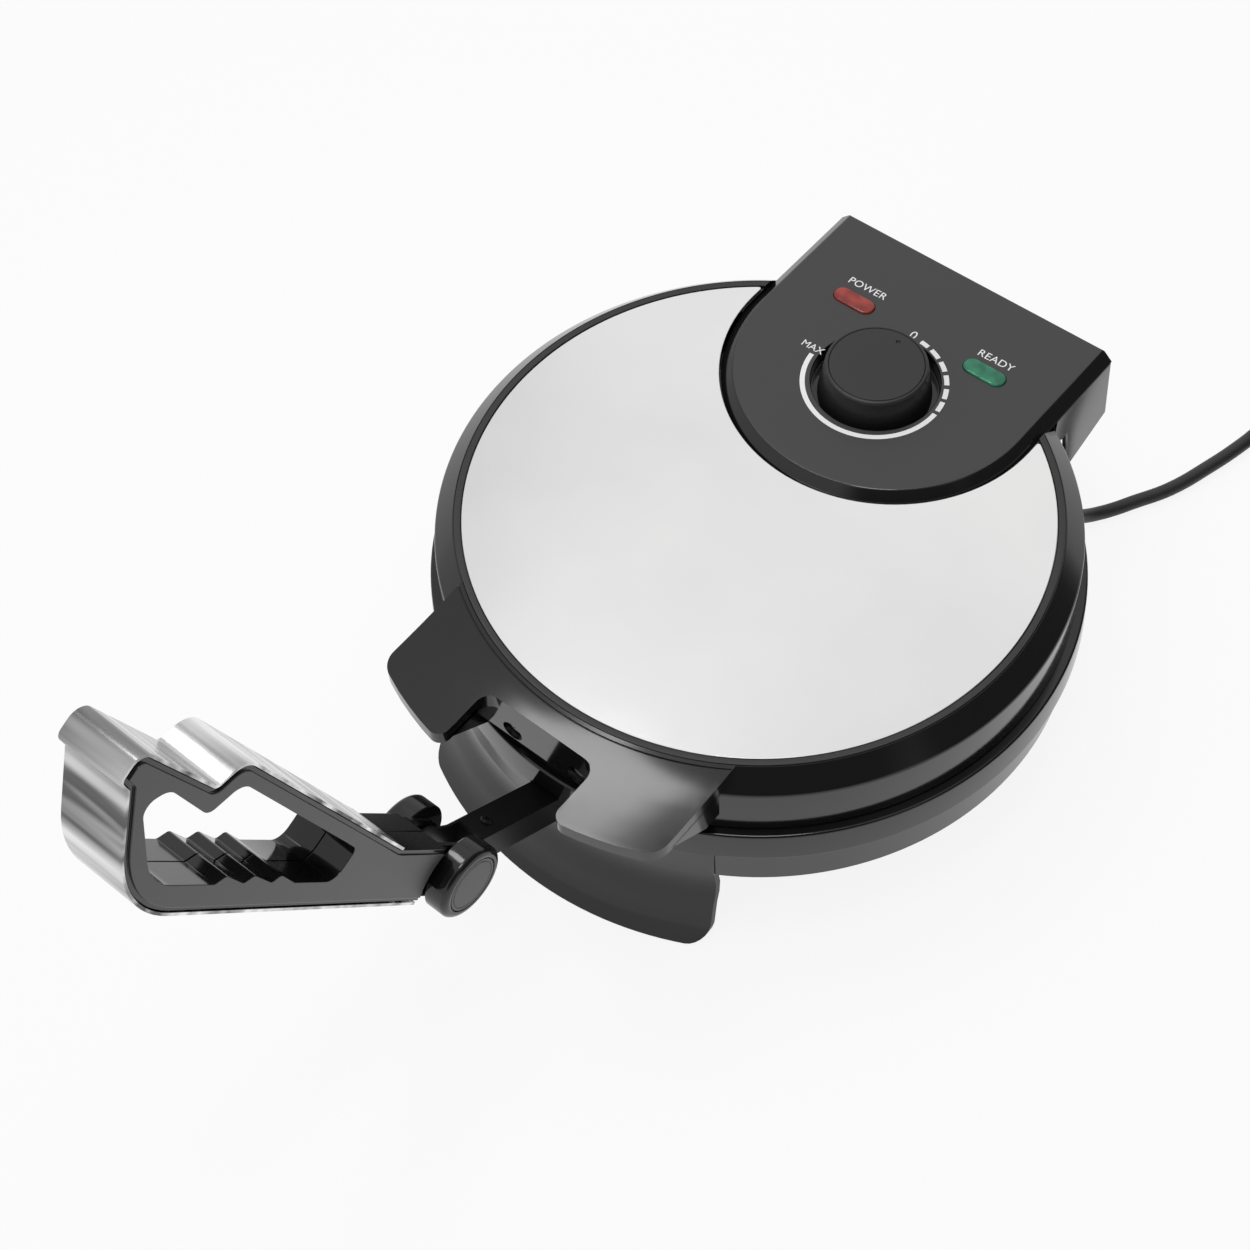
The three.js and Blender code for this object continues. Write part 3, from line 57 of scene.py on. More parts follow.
towards_camera = Vector((
    math.sin(camera_azimuth) * math.cos(camera_height),
    -math.cos(camera_azimuth) * math.cos(camera_height),
    math.sin(camera_height),
))
level_right = Vector((math.cos(camera_azimuth), math.sin(camera_azimuth), 0))
level_up = towards_camera.cross(level_right)
frame_right = level_right * math.cos(camera_roll) + level_up * math.sin(camera_roll)
frame_up = level_up * math.cos(camera_roll) - level_right * math.sin(camera_roll)
camera_data = bpy.data.cameras.new("camera")
camera_data.lens = camera_lens
camera_data.sensor_width = 36
camera_data.clip_end = 20
camera = bpy.data.objects.new("camera", camera_data)
bpy.context.scene.collection.objects.link(camera)
axes = Matrix((frame_right, frame_up, towards_camera)).transposed()
camera.matrix_world = Matrix.Translation(camera_spot) @ axes.to_4x4()
bpy.context.scene.camera = camera


# Mains lead
# A flexible black three-core lead, 7 mm thick, which leaves a moulded rubber gland under the rear of the
# base, runs loose across the table and ends in a neat coil and a plug. The sheath is smooth black PVC.
lead_radius = 0.0035
run_points = [
    (0.07115, 0.20710, 0.022), (0.07380, 0.21168, 0.022), (0.079, 0.22188, 0.020),
    (0.0821, 0.23308, 0.013), (0.0842, 0.23958, 0.0083), (0.0874, 0.24708, 0.0052),
    (0.092, 0.25548, 0.0041), (0.0962, 0.26318, 0.0041), (0.1066, 0.28238, 0.0041),
    (0.1146, 0.30708, 0.0041), (0.119, 0.32418, 0.0041), (0.1219, 0.33988, 0.0041),
    (0.123, 0.35286, 0.0041), (0.123, 0.35956, 0.0041),
]
coil_middle = Vector((0.166, 0.366853, 0))
coil_radius = 0.043
coil_pitch = 0.0076
coil_turns = 2.5
coil_climb = 0.5
turn_steps = 24
table_lift = 0.0041
tail_points = [
    (0.209, 0.359553, 0.0117), (0.209, 0.352853, 0.0117), (0.209, 0.345853, 0.0107),
    (0.2086, 0.335853, 0.0092), (0.2072, 0.326853, 0.0089), (0.206, 0.319053, 0.01), (0.206, 0.314153, 0.01),
]


def shader_of(material):
    return next(node for node in material.node_tree.nodes if node.type == "BSDF_PRINCIPLED")


def new_material(name, colour, roughness, metal=0.0):
    material = bpy.data.materials.new(name)
    material.use_nodes = True
    shader = shader_of(material)
    shader.inputs["Base Color"].default_value = (*colour, 1)
    shader.inputs["Roughness"].default_value = roughness
    shader.inputs["Metallic"].default_value = metal
    return material


def add_node(material, kind, **sockets):
    node = material.node_tree.nodes.new(kind)
    for name, value in sockets.items():
        node.inputs[name].default_value = value
    return node


def grain(material, scale, stretch=(1, 1, 1), detail=3):
    """Noise on the piece's own coordinates."""
    links = material.node_tree.links
    place = add_node(material, "ShaderNodeTexCoord")
    mapping = add_node(material, "ShaderNodeMapping", Scale=stretch)
    noise = add_node(material, "ShaderNodeTexNoise", Scale=scale, Detail=detail)
    links.new(place.outputs["Object"], mapping.inputs["Vector"])
    links.new(mapping.outputs["Vector"], noise.inputs["Vector"])
    return noise.outputs["Fac"]


def vary_roughness(material, signal, low, high):
    spread = add_node(material, "ShaderNodeMapRange")
    spread.inputs["To Min"].default_value = low
    spread.inputs["To Max"].default_value = high
    material.node_tree.links.new(signal, spread.inputs["Value"])
    material.node_tree.links.new(spread.outputs["Result"], shader_of(material).inputs["Roughness"])


def roughen(material, signal, distance):
    bump = add_node(material, "ShaderNodeBump", Distance=distance, Strength=1)
    material.node_tree.links.new(signal, bump.inputs["Height"])
    material.node_tree.links.new(bump.outputs["Normal"], shader_of(material).inputs["Normal"])


def moulded(name, colour, roughness, scale, low, high, relief):
    """A material whose roughness and relief both follow one fine grain."""
    material = new_material(name, colour, roughness)
    signal = grain(material, scale)
    vary_roughness(material, signal, low, high)
    roughen(material, signal, relief)
    return material


def wear(piece, material):
    piece.data.materials.clear()
    piece.data.materials.append(material)


def lead_curve(name, points):
    curve = bpy.data.curves.new(name, "CURVE")
    curve.dimensions = "3D"
    curve.bevel_depth = lead_radius
    curve.bevel_resolution = 6
    curve.use_fill_caps = True
    curve.resolution_u = 6
    spline = curve.splines.new("BEZIER")
    spline.bezier_points.add(len(points) - 1)
    for knot, point in zip(spline.bezier_points, points):
        knot.co = point
        knot.handle_left_type = "AUTO"
        knot.handle_right_type = "AUTO"
    piece = bpy.data.objects.new(name, curve)
    bpy.context.scene.collection.objects.link(piece)
    return piece


def coil_point(turn):
    angle = math.pi - 2 * math.pi * turn
    radius = coil_radius - coil_pitch * min(turn, coil_turns - turn)
    start = (coil_turns - coil_climb) / 2
    share = min(max((turn - start) / coil_climb, 0), 1)
    climb = coil_pitch * share * share * (3 - 2 * share)
    return coil_middle + Vector((radius * math.cos(angle), radius * math.sin(angle), table_lift + climb))


coil_count = round(coil_turns * turn_steps)
coil_points = [coil_point(coil_turns * i / coil_count) for i in range(coil_count + 1)]
coil_end = Vector((0, 2 * lead_radius, 0))
coil_points.insert(0, coil_points[0] - coil_end)
coil_points.append(coil_points[-1] - coil_end)

sheath = moulded("black_sheath", (0.022, 0.022, 0.024), 0.5, 900, 0.42, 0.58, 0.00004)
lead_run = lead_curve("lead_run", run_points)
lead_coil = lead_curve("lead_coil", coil_points)
lead_tail = lead_curve("lead_tail", tail_points)
for piece, node in ((lead_run, "cord_run"), (lead_coil, "cord_coil"), (lead_tail, "cord_tail")):
    wear(piece, sheath)
    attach(piece, "base")
    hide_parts(node)


# Gland and plug
# The gland is a tapered rubber sleeve with ribs that lets the lead bend; the plug is one moulding round
# three brass pins, with a short sleeve where the lead goes in.
hub = (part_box("lower_plate")[0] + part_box("lower_plate")[1]) / 2
hub.z = 0
gland_angle = math.radians(60)
gland_out = Vector((math.cos(gland_angle), math.sin(gland_angle), 0))
gland_reach = 0.114
gland_height = 0.022
gland_seat = hub + gland_out * gland_reach + Vector((0, 0, gland_height))
gland_ribs = 6
rib_pitch = 0.0036
rib_taper = 0.00015
rib_depth = 0.0012


def deselect():
    bpy.ops.object.select_all(action="DESELECT")


def line_through(name, points, closed):
    """A chain of edges drawn out from one corner, point by point."""
    deselect()
    bpy.ops.mesh.primitive_plane_add(size=0.001, location=points[0])
    piece = bpy.context.object
    piece.name = name
    piece.data.name = name
    bpy.ops.object.mode_set(mode="EDIT")
    bpy.ops.mesh.select_all(action="SELECT")
    bpy.ops.mesh.merge(type="CENTER")
    here = Vector(points[0])
    for point in list(points[1:]) + ([points[0]] if closed else []):
        bpy.ops.mesh.extrude_region_move(TRANSFORM_OT_translate={"value": Vector(point) - here})
        here = Vector(point)
    bpy.ops.mesh.select_all(action="SELECT")
    if closed:
        bpy.ops.mesh.remove_doubles(threshold=0.000001)
    return piece


def smooth():
    """Shading runs smoothly over all but the sharp edges."""
    bpy.ops.object.shade_smooth_by_angle(angle=math.radians(35))


def settle(piece):
    """Back to object mode, faces outwards, place into the mesh."""
    bpy.ops.mesh.select_all(action="SELECT")
    bpy.ops.mesh.remove_doubles(threshold=0.000002)
    bpy.ops.mesh.normals_make_consistent(inside=False)
    bpy.ops.object.mode_set(mode="OBJECT")
    bpy.ops.object.transform_apply(location=True, rotation=True, scale=True)
    smooth()
    return piece


def turned(name, profile, centre, along=(0, 0, 1), steps=180):
    """A profile of (radius, height) pairs spun about an axis."""
    along = Vector(along).normalized()
    across = along.orthogonal().normalized()
    closed = profile[0][0] > 0 or profile[-1][0] > 0
    points = [Vector(centre) + across * radius + along * height for radius, height in profile]
    piece = line_through(name, points, closed)
    bpy.ops.mesh.spin(steps=steps, angle=2 * math.pi, center=centre, axis=along)
    return settle(piece)


gland_profile = [(0, -0.007), (0.0052, -0.007), (0.0052, 0.0003), (0.0066, 0.0003), (0.007, 0.0007),
                 (0.007, 0.0022), (0.0066, 0.0027)]
for rib in range(gland_ribs):
    start = 0.0032 + rib * rib_pitch
    thick = 0.0056 - rib * rib_taper
    gland_profile += [(thick - rib_depth, start), (thick - rib_depth, start + 0.0008),
                      (thick, start + 0.0012), (thick, start + 0.003)]
gland_profile += [(0.0044, 0.0262), (0.0044, 0.0278), (0.0042, 0.028), (0, 0.028)]

soft_rubber = moulded("soft_black_rubber", (0.018, 0.018, 0.019), 0.7, 600, 0.62, 0.8, 0.00005)
gland = turned("lead_gland", gland_profile, gland_seat, gland_out, steps=40)
wear(gland, soft_rubber)
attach(gland, "base")
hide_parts("cord_gland")

plug_middle = Vector((0.206, 0.276877, 0))
plug_width = 0.046
plug_length = 0.042
plug_height = 0.020
plug_taper = 0.005
plug_corner = 0.009
sleeve_profile = [(0, -0.003), (0.0052, -0.003), (0.0052, 0.001), (0.0046, 0.014), (0.0044, 0.016),
                  (0, 0.016)]


def rounded(corners, radii, steps=6):
    """Corner points in a plane joined by arcs of the given radii."""
    outline = []
    count = len(corners)
    for i, corner in enumerate(corners):
        here = Vector(corner)
        radius = radii[i] if isinstance(radii, (list, tuple)) else radii
        before = Vector(corners[i - 1]) - here
        after = Vector(corners[(i + 1) % count]) - here
        room = min(before.length, after.length) * 0.499
        before.normalize()
        after.normalize()
        half = before.angle(after) / 2
        reach = min(radius / math.tan(half), room) if radius else 0
        if reach <= 0:
            outline.append(here)
            continue
        middle = here + (before + after).normalized() * reach / math.cos(half)
        first = here + before * reach - middle
        last = here + after * reach - middle
        turn = first.angle(last)
        for step in range(steps + 1):
            share = step / steps
            spoke = first * math.sin((1 - share) * turn) + last * math.sin(share * turn)
            outline.append(middle + spoke / math.sin(turn))
    return outline


def raised(name, outline, depth):
    """A filled outline drawn out along a vector."""
    piece = line_through(name, outline, True)
    bpy.ops.mesh.edge_face_add()
    bpy.ops.mesh.extrude_region_move(TRANSFORM_OT_translate={"value": depth})
    return settle(piece)


def pick(piece):
    deselect()
    piece.select_set(True)
    bpy.context.view_layer.objects.active = piece


def soften(piece, width, segments=3, angle=40):
    """Rounds the sharp edges."""
    pick(piece)
    edge = piece.modifiers.new("edge", "BEVEL")
    edge.width = width
    edge.segments = segments
    edge.angle_limit = math.radians(angle)
    edge.harden_normals = False
    bpy.ops.object.modifier_apply(modifier=edge.name)
    smooth()


def combine(piece, other, operation):
    """One solid changed by another, which is used up."""
    pick(piece)
    change = piece.modifiers.new("change", "BOOLEAN")
    change.operation = operation
    change.solver = "EXACT"
    change.object = other
    bpy.ops.object.modifier_apply(modifier=change.name)
    bpy.data.objects.remove(other)


def unite(piece, other):
    combine(piece, other, "UNION")


def block(name, low, high):
    low, high = Vector(low), Vector(high)
    deselect()
    bpy.ops.mesh.primitive_cube_add(size=1, location=(low + high) / 2)
    piece = bpy.context.object
    piece.name = name
    piece.scale = high - low
    bpy.ops.object.transform_apply(location=True, rotation=True, scale=True)
    return piece


front, back = -plug_length / 2, plug_length / 2
wide, narrow = plug_width / 2, plug_width / 2 - plug_taper
plug_corners = [(wide, front, 0), (narrow, back, 0), (-narrow, back, 0), (-wide, front, 0)]
plug_outline = rounded([plug_middle + Vector(corner) for corner in plug_corners], plug_corner)
plug = raised("plug", plug_outline, (0, 0, plug_height))
soften(plug, 0.0015)
sleeve_seat = plug_middle + Vector((0, back, plug_height / 2))
unite(plug, turned("plug_sleeve", sleeve_profile, sleeve_seat, (0, 1, 0), steps=32))
wear(plug, moulded("plug_black", (0.024, 0.024, 0.025), 0.45, 700, 0.4, 0.52, 0.00003))
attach(plug, "base")
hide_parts("plug_body")

pin_brass = new_material("pin_brass", (0.72, 0.53, 0.26), 0.28, 1)
vary_roughness(pin_brass, grain(pin_brass, 300, (1, 1, 0.1)), 0.2, 0.36)
for name in ("plug_pin_live", "plug_pin_neutral", "plug_pin_earth"):
    low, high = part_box(name)
    pin = block(name + "_blade", low, high)
    soften(pin, 0.0006)
    wear(pin, pin_brass)
    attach(pin, "base")
    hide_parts(name)


# Table and studio light
# A white table, and an even tent of light all round it with a white backdrop. Two dark flags to the right
# keep the polished bevels black, and three soft boxes overhead light the ears, the rear and the top.
floor_size = 8
floor_depth = -0.0002
floor_glow = 0.88
deselect()
bpy.ops.mesh.primitive_plane_add(size=floor_size, location=(0, 0, floor_depth))
floor = bpy.context.object
floor.name = "table"
bpy.ops.object.transform_apply(location=True)
floor_paint = new_material("white_table", (0.92, 0.92, 0.92), 0.9)
shader_of(floor_paint).inputs["Specular IOR Level"].default_value = 0
links = floor_paint.node_tree.links
ray = add_node(floor_paint, "ShaderNodeLightPath")
seen = ray.outputs["Is Camera Ray"]
for kind in ("Is Glossy Ray", "Is Transmission Ray"):
    either = add_node(floor_paint, "ShaderNodeMath")
    either.operation = "MAXIMUM"
    links.new(seen, either.inputs[0])
    links.new(ray.outputs[kind], either.inputs[1])
    seen = either.outputs["Value"]
share = add_node(floor_paint, "ShaderNodeMath")
share.operation = "MULTIPLY"
share.inputs[1].default_value = floor_glow
links.new(seen, share.inputs[0])
glow = add_node(floor_paint, "ShaderNodeEmission", Color=(1, 1, 1, 1), Strength=1.0)
blend = add_node(floor_paint, "ShaderNodeMixShader")
links.new(share.outputs["Value"], blend.inputs["Fac"])
links.new(shader_of(floor_paint).outputs["BSDF"], blend.inputs[1])
links.new(glow.outputs["Emission"], blend.inputs[2])
floor_output = next(node for node in floor_paint.node_tree.nodes if node.type == "OUTPUT_MATERIAL")
links.new(blend.outputs["Shader"], floor_output.inputs["Surface"])
wear(floor, floor_paint)

bpy.context.scene.view_settings.view_transform = "Standard"
tent_level = 0.8
flag_direction = Vector((0.62, -0.50, 0.58))
flag_spread = (0.80, 0.93)
side_direction = Vector((0.765, 0.52, 0.378))
side_spread = (0.72, 0.88)
flag_depth = 0.12
world = bpy.data.worlds.new("studio")
bpy.context.scene.world = world
world.use_nodes = True
tent = world.node_tree
background = next(node for node in tent.nodes if node.type == "BACKGROUND")
place = tent.nodes.new("ShaderNodeTexCoord")
level = None
for direction, (outer, inner) in ((flag_direction, flag_spread), (side_direction, side_spread)):
    facing = tent.nodes.new("ShaderNodeVectorMath")
    facing.operation = "DOT_PRODUCT"
    facing.inputs[1].default_value = direction.normalized()
    tent.links.new(place.outputs["Generated"], facing.inputs[0])
    patch = tent.nodes.new("ShaderNodeMapRange")
    patch.interpolation_type = "SMOOTHSTEP"
    patch.inputs["From Min"].default_value = outer
    patch.inputs["From Max"].default_value = inner
    patch.inputs["To Min"].default_value = 1
    patch.inputs["To Max"].default_value = flag_depth
    tent.links.new(facing.outputs["Value"], patch.inputs["Value"])
    mixed = tent.nodes.new("ShaderNodeMath")
    mixed.operation = "MULTIPLY"
    mixed.inputs[1].default_value = tent_level
    if level:
        tent.links.new(level, mixed.inputs[1])
    tent.links.new(patch.outputs["Result"], mixed.inputs[0])
    level = mixed.outputs["Value"]
backdrop = tent.nodes.new("ShaderNodeLightPath")
lifted = tent.nodes.new("ShaderNodeMath")
lifted.operation = "MAXIMUM"
tent.links.new(level, lifted.inputs[0])
tent.links.new(backdrop.outputs["Is Camera Ray"], lifted.inputs[1])
tent.links.new(lifted.outputs["Value"], background.inputs["Strength"])
background.inputs["Color"].default_value = (1, 1, 1, 1)


def soft_box(name, spot, aim, size, power):
    lamp = bpy.data.lights.new(name, "AREA")
    lamp.shape = "RECTANGLE"
    lamp.size = size[0]
    lamp.size_y = size[1]
    lamp.energy = power
    holder = bpy.data.objects.new(name, lamp)
    bpy.context.scene.collection.objects.link(holder)
    holder.location = spot
    holder.rotation_euler = (Vector(aim) - Vector(spot)).to_track_quat("-Z", "Y").to_euler()


soft_box("ear_light", (-0.30, 0.13, 1.02), (0.03, -0.05, 0.1), (0.22, 0.22), 1.25)
soft_box("rear_light", (-0.5, 1.2, 1.6), (0, 0.08, 0.1), (1.2, 0.8), 0.5)
soft_box("top_light", (0.10, -0.06, 1.5), (0.02, 0.04, 0.1), (0.34, 0.34), 3)


# Base shell
# One glossy black moulding: an upper band with a rolled shoulder, a channel that the lid closes on, and a
# plain lower wall stepped in under the band. The rear is flat for the hinge, the front open for the arm.
base_wall = 0.0025
base_low = 0.0366
ledge_top = 0.0733
flat_half = 0.081
flat_back = 0.1432
rear_floor = 0.0467
skirt_half = 0.0743
arm_angle = 32
arm_half = 0.0075
arm_top = 0.0043
arm_depth = 0.0138
arm_start = 0.0224
arm_end = 0.1
tunnel_margin = 0.0006
pivot_spot = Vector(next(
    joint["pos_m"] for joint in frame["record"]["behaviour"]["joints"] if joint["name"] == "handle_pivot"
))


def lever_point(u, v, angle, x=0.0):
    """A place in a side view that starts at the pivot, u to the front and v up, tilted by an angle."""
    turn = math.radians(angle)
    ahead = u * math.cos(turn) - v * math.sin(turn)
    above = u * math.sin(turn) + v * math.cos(turn)
    return Vector((x, pivot_spot.y - ahead, pivot_spot.z + above))


def side_raised(name, outline, angle, left, right):
    """A side view drawn out across the object."""
    points = [lever_point(u, v, angle, left) for u, v, *_ in outline]
    return raised(name, points, (right - left, 0, 0))


def cut(piece, other):
    combine(piece, other, "DIFFERENCE")


def rod(name, radius, low, high, centre, along=(0, 0, 1), steps=32):
    """A plain cylinder about an axis, from one distance along it to another."""
    return turned(name, [(0, low), (radius, low), (radius, high), (0, high)], centre, along, steps)


def even_shading(piece):
    """Large faces keep their own normal, so that only the bevels carry a reflection round."""
    pick(piece)
    smooth()
    bpy.ops.object.modifier_add(type="WEIGHTED_NORMAL")
    piece.modifiers[-1].keep_sharp = True
    bpy.ops.object.modifier_apply(modifier=piece.modifiers[-1].name)


def on_hub(x, y, z=0.0):
    return Vector((hub.x + x, hub.y + y, z))


def plan_block(name, x, y, z):
    return block(name, on_hub(x[0], y[0], z[0]), on_hub(x[1], y[1], z[1]))


def upright_box(rear, front, low, high):
    """A side view's rectangle, from the lower rear corner round to the upper one."""
    return [(rear, low), (front, low), (front, high), (rear, high)]


def arm_tunnel():
    """The room that the lever's arm takes up, to be cut from the base and the skirt."""
    half = arm_half + tunnel_margin
    low = arm_top - arm_depth - tunnel_margin
    outline = upright_box(-arm_end, -arm_start, low, arm_top + tunnel_margin)
    return side_raised("arm_tunnel", outline, arm_angle, -half, half)


gloss_black = moulded("gloss_black", (0.008, 0.008, 0.009), 0.12, 55, 0.09, 0.15, 0.00001)
base_profile = [
    (0.1404, ledge_top), (0.1404, 0.0751), (0.1407, 0.0754), (0.1462, 0.0754), (0.1468, 0.0752),
    (0.1473, 0.0748), (0.1475, 0.0741), (0.1479, 0.0668), (0.1483, 0.0601), (0.1482, 0.0597),
    (0.1479, 0.0594), (0.1457, 0.0587), (0.1454, 0.0582), (0.1451, 0.0369), (0.1448, base_low),
    (0.1426, base_low), (0.1429, 0.0570), (0.1458, 0.0595), (0.1450, 0.0708), (0.1358, 0.0708),
    (0.1358, ledge_top),
]
base_shell = turned("base_body", base_profile, hub)
front_gap = turned("front_gap", [(0.1399, 0), (0.1457, 0), (0.1457, 0.0592), (0.1399, 0.0592)], hub)
front_half = plan_block("front_half", (-skirt_half, skirt_half), (-0.16, 0), (-0.01, 0.0754))
combine(front_gap, front_half, "INTERSECT")
cut(base_shell, front_gap)
for name, back, low, high in (
    ("rear_wall", flat_back, base_low, ledge_top),
    ("rear_shelf", flat_back + 0.0052, rear_floor - base_wall, rear_floor),
):
    web = plan_block(name, (-flat_half, flat_half), (flat_back - base_wall, back), (low, high))
    combine(web, rod("round_cut", 0.1451, 0, 0.1, hub, steps=180), "INTERSECT")
    unite(base_shell, web)
rear_space = plan_block("rear_space", (-flat_half, flat_half), (flat_back, 0.16), (rear_floor, 0.12))
cut(base_shell, rear_space)
cut(base_shell, arm_tunnel())
even_shading(base_shell)
wear(base_shell, gloss_black)
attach(base_shell, "base")
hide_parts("base_shell")


# Front skirt
# A flared apron, clipped into the open front of the base, that carries the lever's load down to the
# table. It is moulded in the same gloss black plastic, with rounded lower corners.
skirt_sheet = 0.0024
window_front = 0.19
window_depth = 0.15
skirt_outer = [(0.1451, 0.066), (0.1451, 0.0595), (0.1454, 0.0445), (0.1456, 0.036), (0.1463, 0.0297),
               (0.1483, 0.0243), (0.1510, 0.0197), (0.1533, 0.0146), (0.1555, 0.0097), (0.1586, 0.0052),
               (0.1620, 0.0010)]
skirt_inner = [(radius - skirt_sheet, height) for radius, height in reversed(skirt_outer)]
front_skirt = turned("front_apron", skirt_outer + skirt_inner, hub)
skirt_corners = [(-0.074, 0.069), (-0.074, 0.0366), (-0.0804, 0.001), (0.0804, 0.001), (0.074, 0.0366),
                 (0.074, 0.069)]
skirt_rounds = [0, 0.02, 0.0065, 0.0065, 0.02, 0]
skirt_plan = rounded([(x, z, 0) for x, z in skirt_corners], skirt_rounds)
skirt_window = [on_hub(point.x, -window_front, point.y) for point in skirt_plan]
combine(front_skirt, raised("skirt_window", skirt_window, (0, window_depth, 0)), "INTERSECT")
cut(front_skirt, arm_tunnel())
soften(front_skirt, 0.0007, 2, 60)
even_shading(front_skirt)
wear(front_skirt, gloss_black)
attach(front_skirt, "base")
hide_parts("front_skirt")


# Lid shell
# A glossy black moulding that clips over the upper hot plate: a bevelled rim round the steel cover, a
# plain wall, and two broad ears at the front with a notch between them that the lever drops into.
cover_top = 0.1095
shell_inner = 0.1336
flange_radius = 0.1404
ear_half = 0.0746
ear_reach = 0.178
ear_top = 0.1098
ear_sheet = 0.0026
notch_half = 0.030
notch_back = 0.1454
panel_half = 0.0709
panel_centre = 0.0976
panel_rear = 0.1651
panel_steps = 56
panel_gap = 0.0056


def panel_outline(margin, rear_margin=None):
    """The panel's plan, round at the front and straight at the rear, grown by a margin."""
    half = panel_half + margin
    rear = panel_rear + (margin if rear_margin is None else rear_margin)
    outline = [(half, panel_centre), (half, rear), (-half, rear), (-half, panel_centre)]
    for i in range(1, panel_steps):
        angle = math.pi * (1 + i / panel_steps)
        outline.append((half * math.cos(angle), panel_centre + half * math.sin(angle)))
    return outline


def plan_raised(name, outline, low, high):
    """A plan about the hot plates' axis, raised from one height to another."""
    return raised(name, [on_hub(x, y, low) for x, y, *_ in outline], (0, 0, high - low))


def grown(outline, distance):
    """The same outline, each side moved out by a distance; it runs anticlockwise."""
    moved = []
    count = len(outline)
    for i in range(count):
        before, here, after = (Vector(outline[j % count][:2]) for j in (i - 1, i, i + 1))
        first = (here - before).normalized()
        second = (after - here).normalized()
        normal = Vector((first.y + second.y, -first.x - second.x)).normalized()
        stretch = max(normal.dot(Vector((first.y, -first.x))), 0.5)
        moved.append(here + normal * distance / stretch)
    return moved


ear_front = [-ear_half, -0.059, -0.0505, -0.0425, -notch_half]
ear_rear = -math.sqrt(shell_inner ** 2 - ear_half ** 2)
ear_corners = [(ear_half, ear_rear, 0), (0, ear_rear, 0), (-ear_half, ear_rear, 0)]
ear_corners += [(x, -math.sqrt(ear_reach ** 2 - x ** 2), 0) for x in ear_front]
ear_corners += [(-notch_half, -notch_back, 0), (notch_half, -notch_back, 0)]
ear_corners += [(-x, -math.sqrt(ear_reach ** 2 - x ** 2), 0) for x in reversed(ear_front)]
ear_rounds = [0, 0, 0, 0.011, 0, 0, 0, 0.0065, 0.0065, 0.0065, 0.0065, 0, 0, 0, 0.011]
ear_plan = rounded(ear_corners, ear_rounds, 8)
ear_slab = plan_raised("ear_slab", ear_plan, 0.0996, 0.12)
ear_dish_profile = [
    (0, 0.09), (0.19, 0.09), (0.19, 0.1064), (0.176, 0.1066), (0.167, 0.1067), (0.1558, 0.1072),
    (0.148, 0.1078), (0.141, 0.1086), (0.1361, 0.1094), (0.1359, 0.1089), (0.1355, 0.1089),
    (0.1353, 0.1095), (shell_inner, ear_top), (0, ear_top),
]
combine(ear_slab, turned("ear_dish", ear_dish_profile, hub, steps=240), "INTERSECT")
soften(ear_slab, 0.002, 4, 55)
ear_hollow = plan_raised("ear_hollow", grown(ear_plan, -ear_sheet), 0.08, 0.12)
ear_under_profile = [(0, 0.05), (0.19, 0.05), (0.19, 0.1018), (0.178, 0.102), (0.1558, 0.103),
                     (shell_inner, 0.1052), (0, 0.1052)]
combine(ear_hollow, turned("ear_under", ear_under_profile, hub, steps=240), "INTERSECT")
cut(ear_slab, ear_hollow)


def profile_block(name, outline, left, right):
    """An outline of (distance in front, height) pairs, drawn out across the object."""
    points = [on_hub(left, -ahead, height) for ahead, height in outline]
    return raised(name, points, (right - left, 0, 0))


outer_web = [(0.11876, 0.1026), (0.11876, 0.0858), (0.13076, 0.0858), (0.1531, 0.1011)]
inner_web = [(0.1432, 0.1026), (0.1432, 0.0858), (0.1476, 0.0858), (0.1694, 0.1011)]
for low, high, outline in (
    (ear_half - ear_sheet, ear_half, outer_web),
    (notch_half, notch_half + ear_sheet, inner_web),
):
    unite(ear_slab, profile_block("web_right", outline, low, high))
    unite(ear_slab, profile_block("web_left", outline, -high, -low))
wall_half = notch_half + ear_sheet
notch_wall = plan_block("notch_wall", (-wall_half, wall_half), (-notch_back, -notch_back + 0.0022),
                        (0.0826, 0.1066))
unite(ear_slab, notch_wall)
ear_inside_profile = [(0, 0), (flange_radius, 0), (flange_radius, 0.0982), (shell_inner, 0.1057),
                      (shell_inner, 0.12), (0, 0.12)]
cut(ear_slab, turned("ear_inside", ear_inside_profile, hub, steps=240))

lid_profile = [
    (0.1338, 0.1095), (0.1342, 0.1092), (0.1421, 0.1014), (0.1426, 0.1008), (0.1428, 0.0999),
    (0.1432, 0.0763), (0.1430, 0.0759), (flange_radius, 0.0759), (flange_radius, 0.0807),
    (0.1358, 0.0807), (0.1358, 0.0832), (flange_radius, 0.0832), (flange_radius, 0.0982),
    (shell_inner, 0.1057), (0.1153, 0.1057), (0.1153, 0.1084), (shell_inner, 0.1084), (shell_inner, 0.1095),
]
lid_shell = turned("lid_body", lid_profile, hub, steps=240)
unite(lid_shell, ear_slab)
cut(lid_shell, plan_raised("panel_space", panel_outline(panel_gap), 0.1063, 0.13))
under_panel = plan_raised("under_panel", panel_outline(-0.0025), 0.1027, 0.13)
combine(under_panel, rod("under_round", flange_radius, 0.1, 0.14, hub, steps=120), "INTERSECT")
cut(lid_shell, under_panel)
screw_height = cover_top - 0.0214
screw_across = 0.0176
for side in (-1, 1):
    spot = on_hub(side * screw_across, -notch_back, screw_height)
    cut(lid_shell, rod("screw_seat", 0.0052, -0.0052, 0.003, spot, (0, -1, 0)))
    cut(lid_shell, rod("screw_bore", 0.0022, -0.012, 0, spot, (0, -1, 0), 24))
even_shading(lid_shell)
wear(lid_shell, gloss_black)
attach(lid_shell, "lid")
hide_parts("lid_shell")


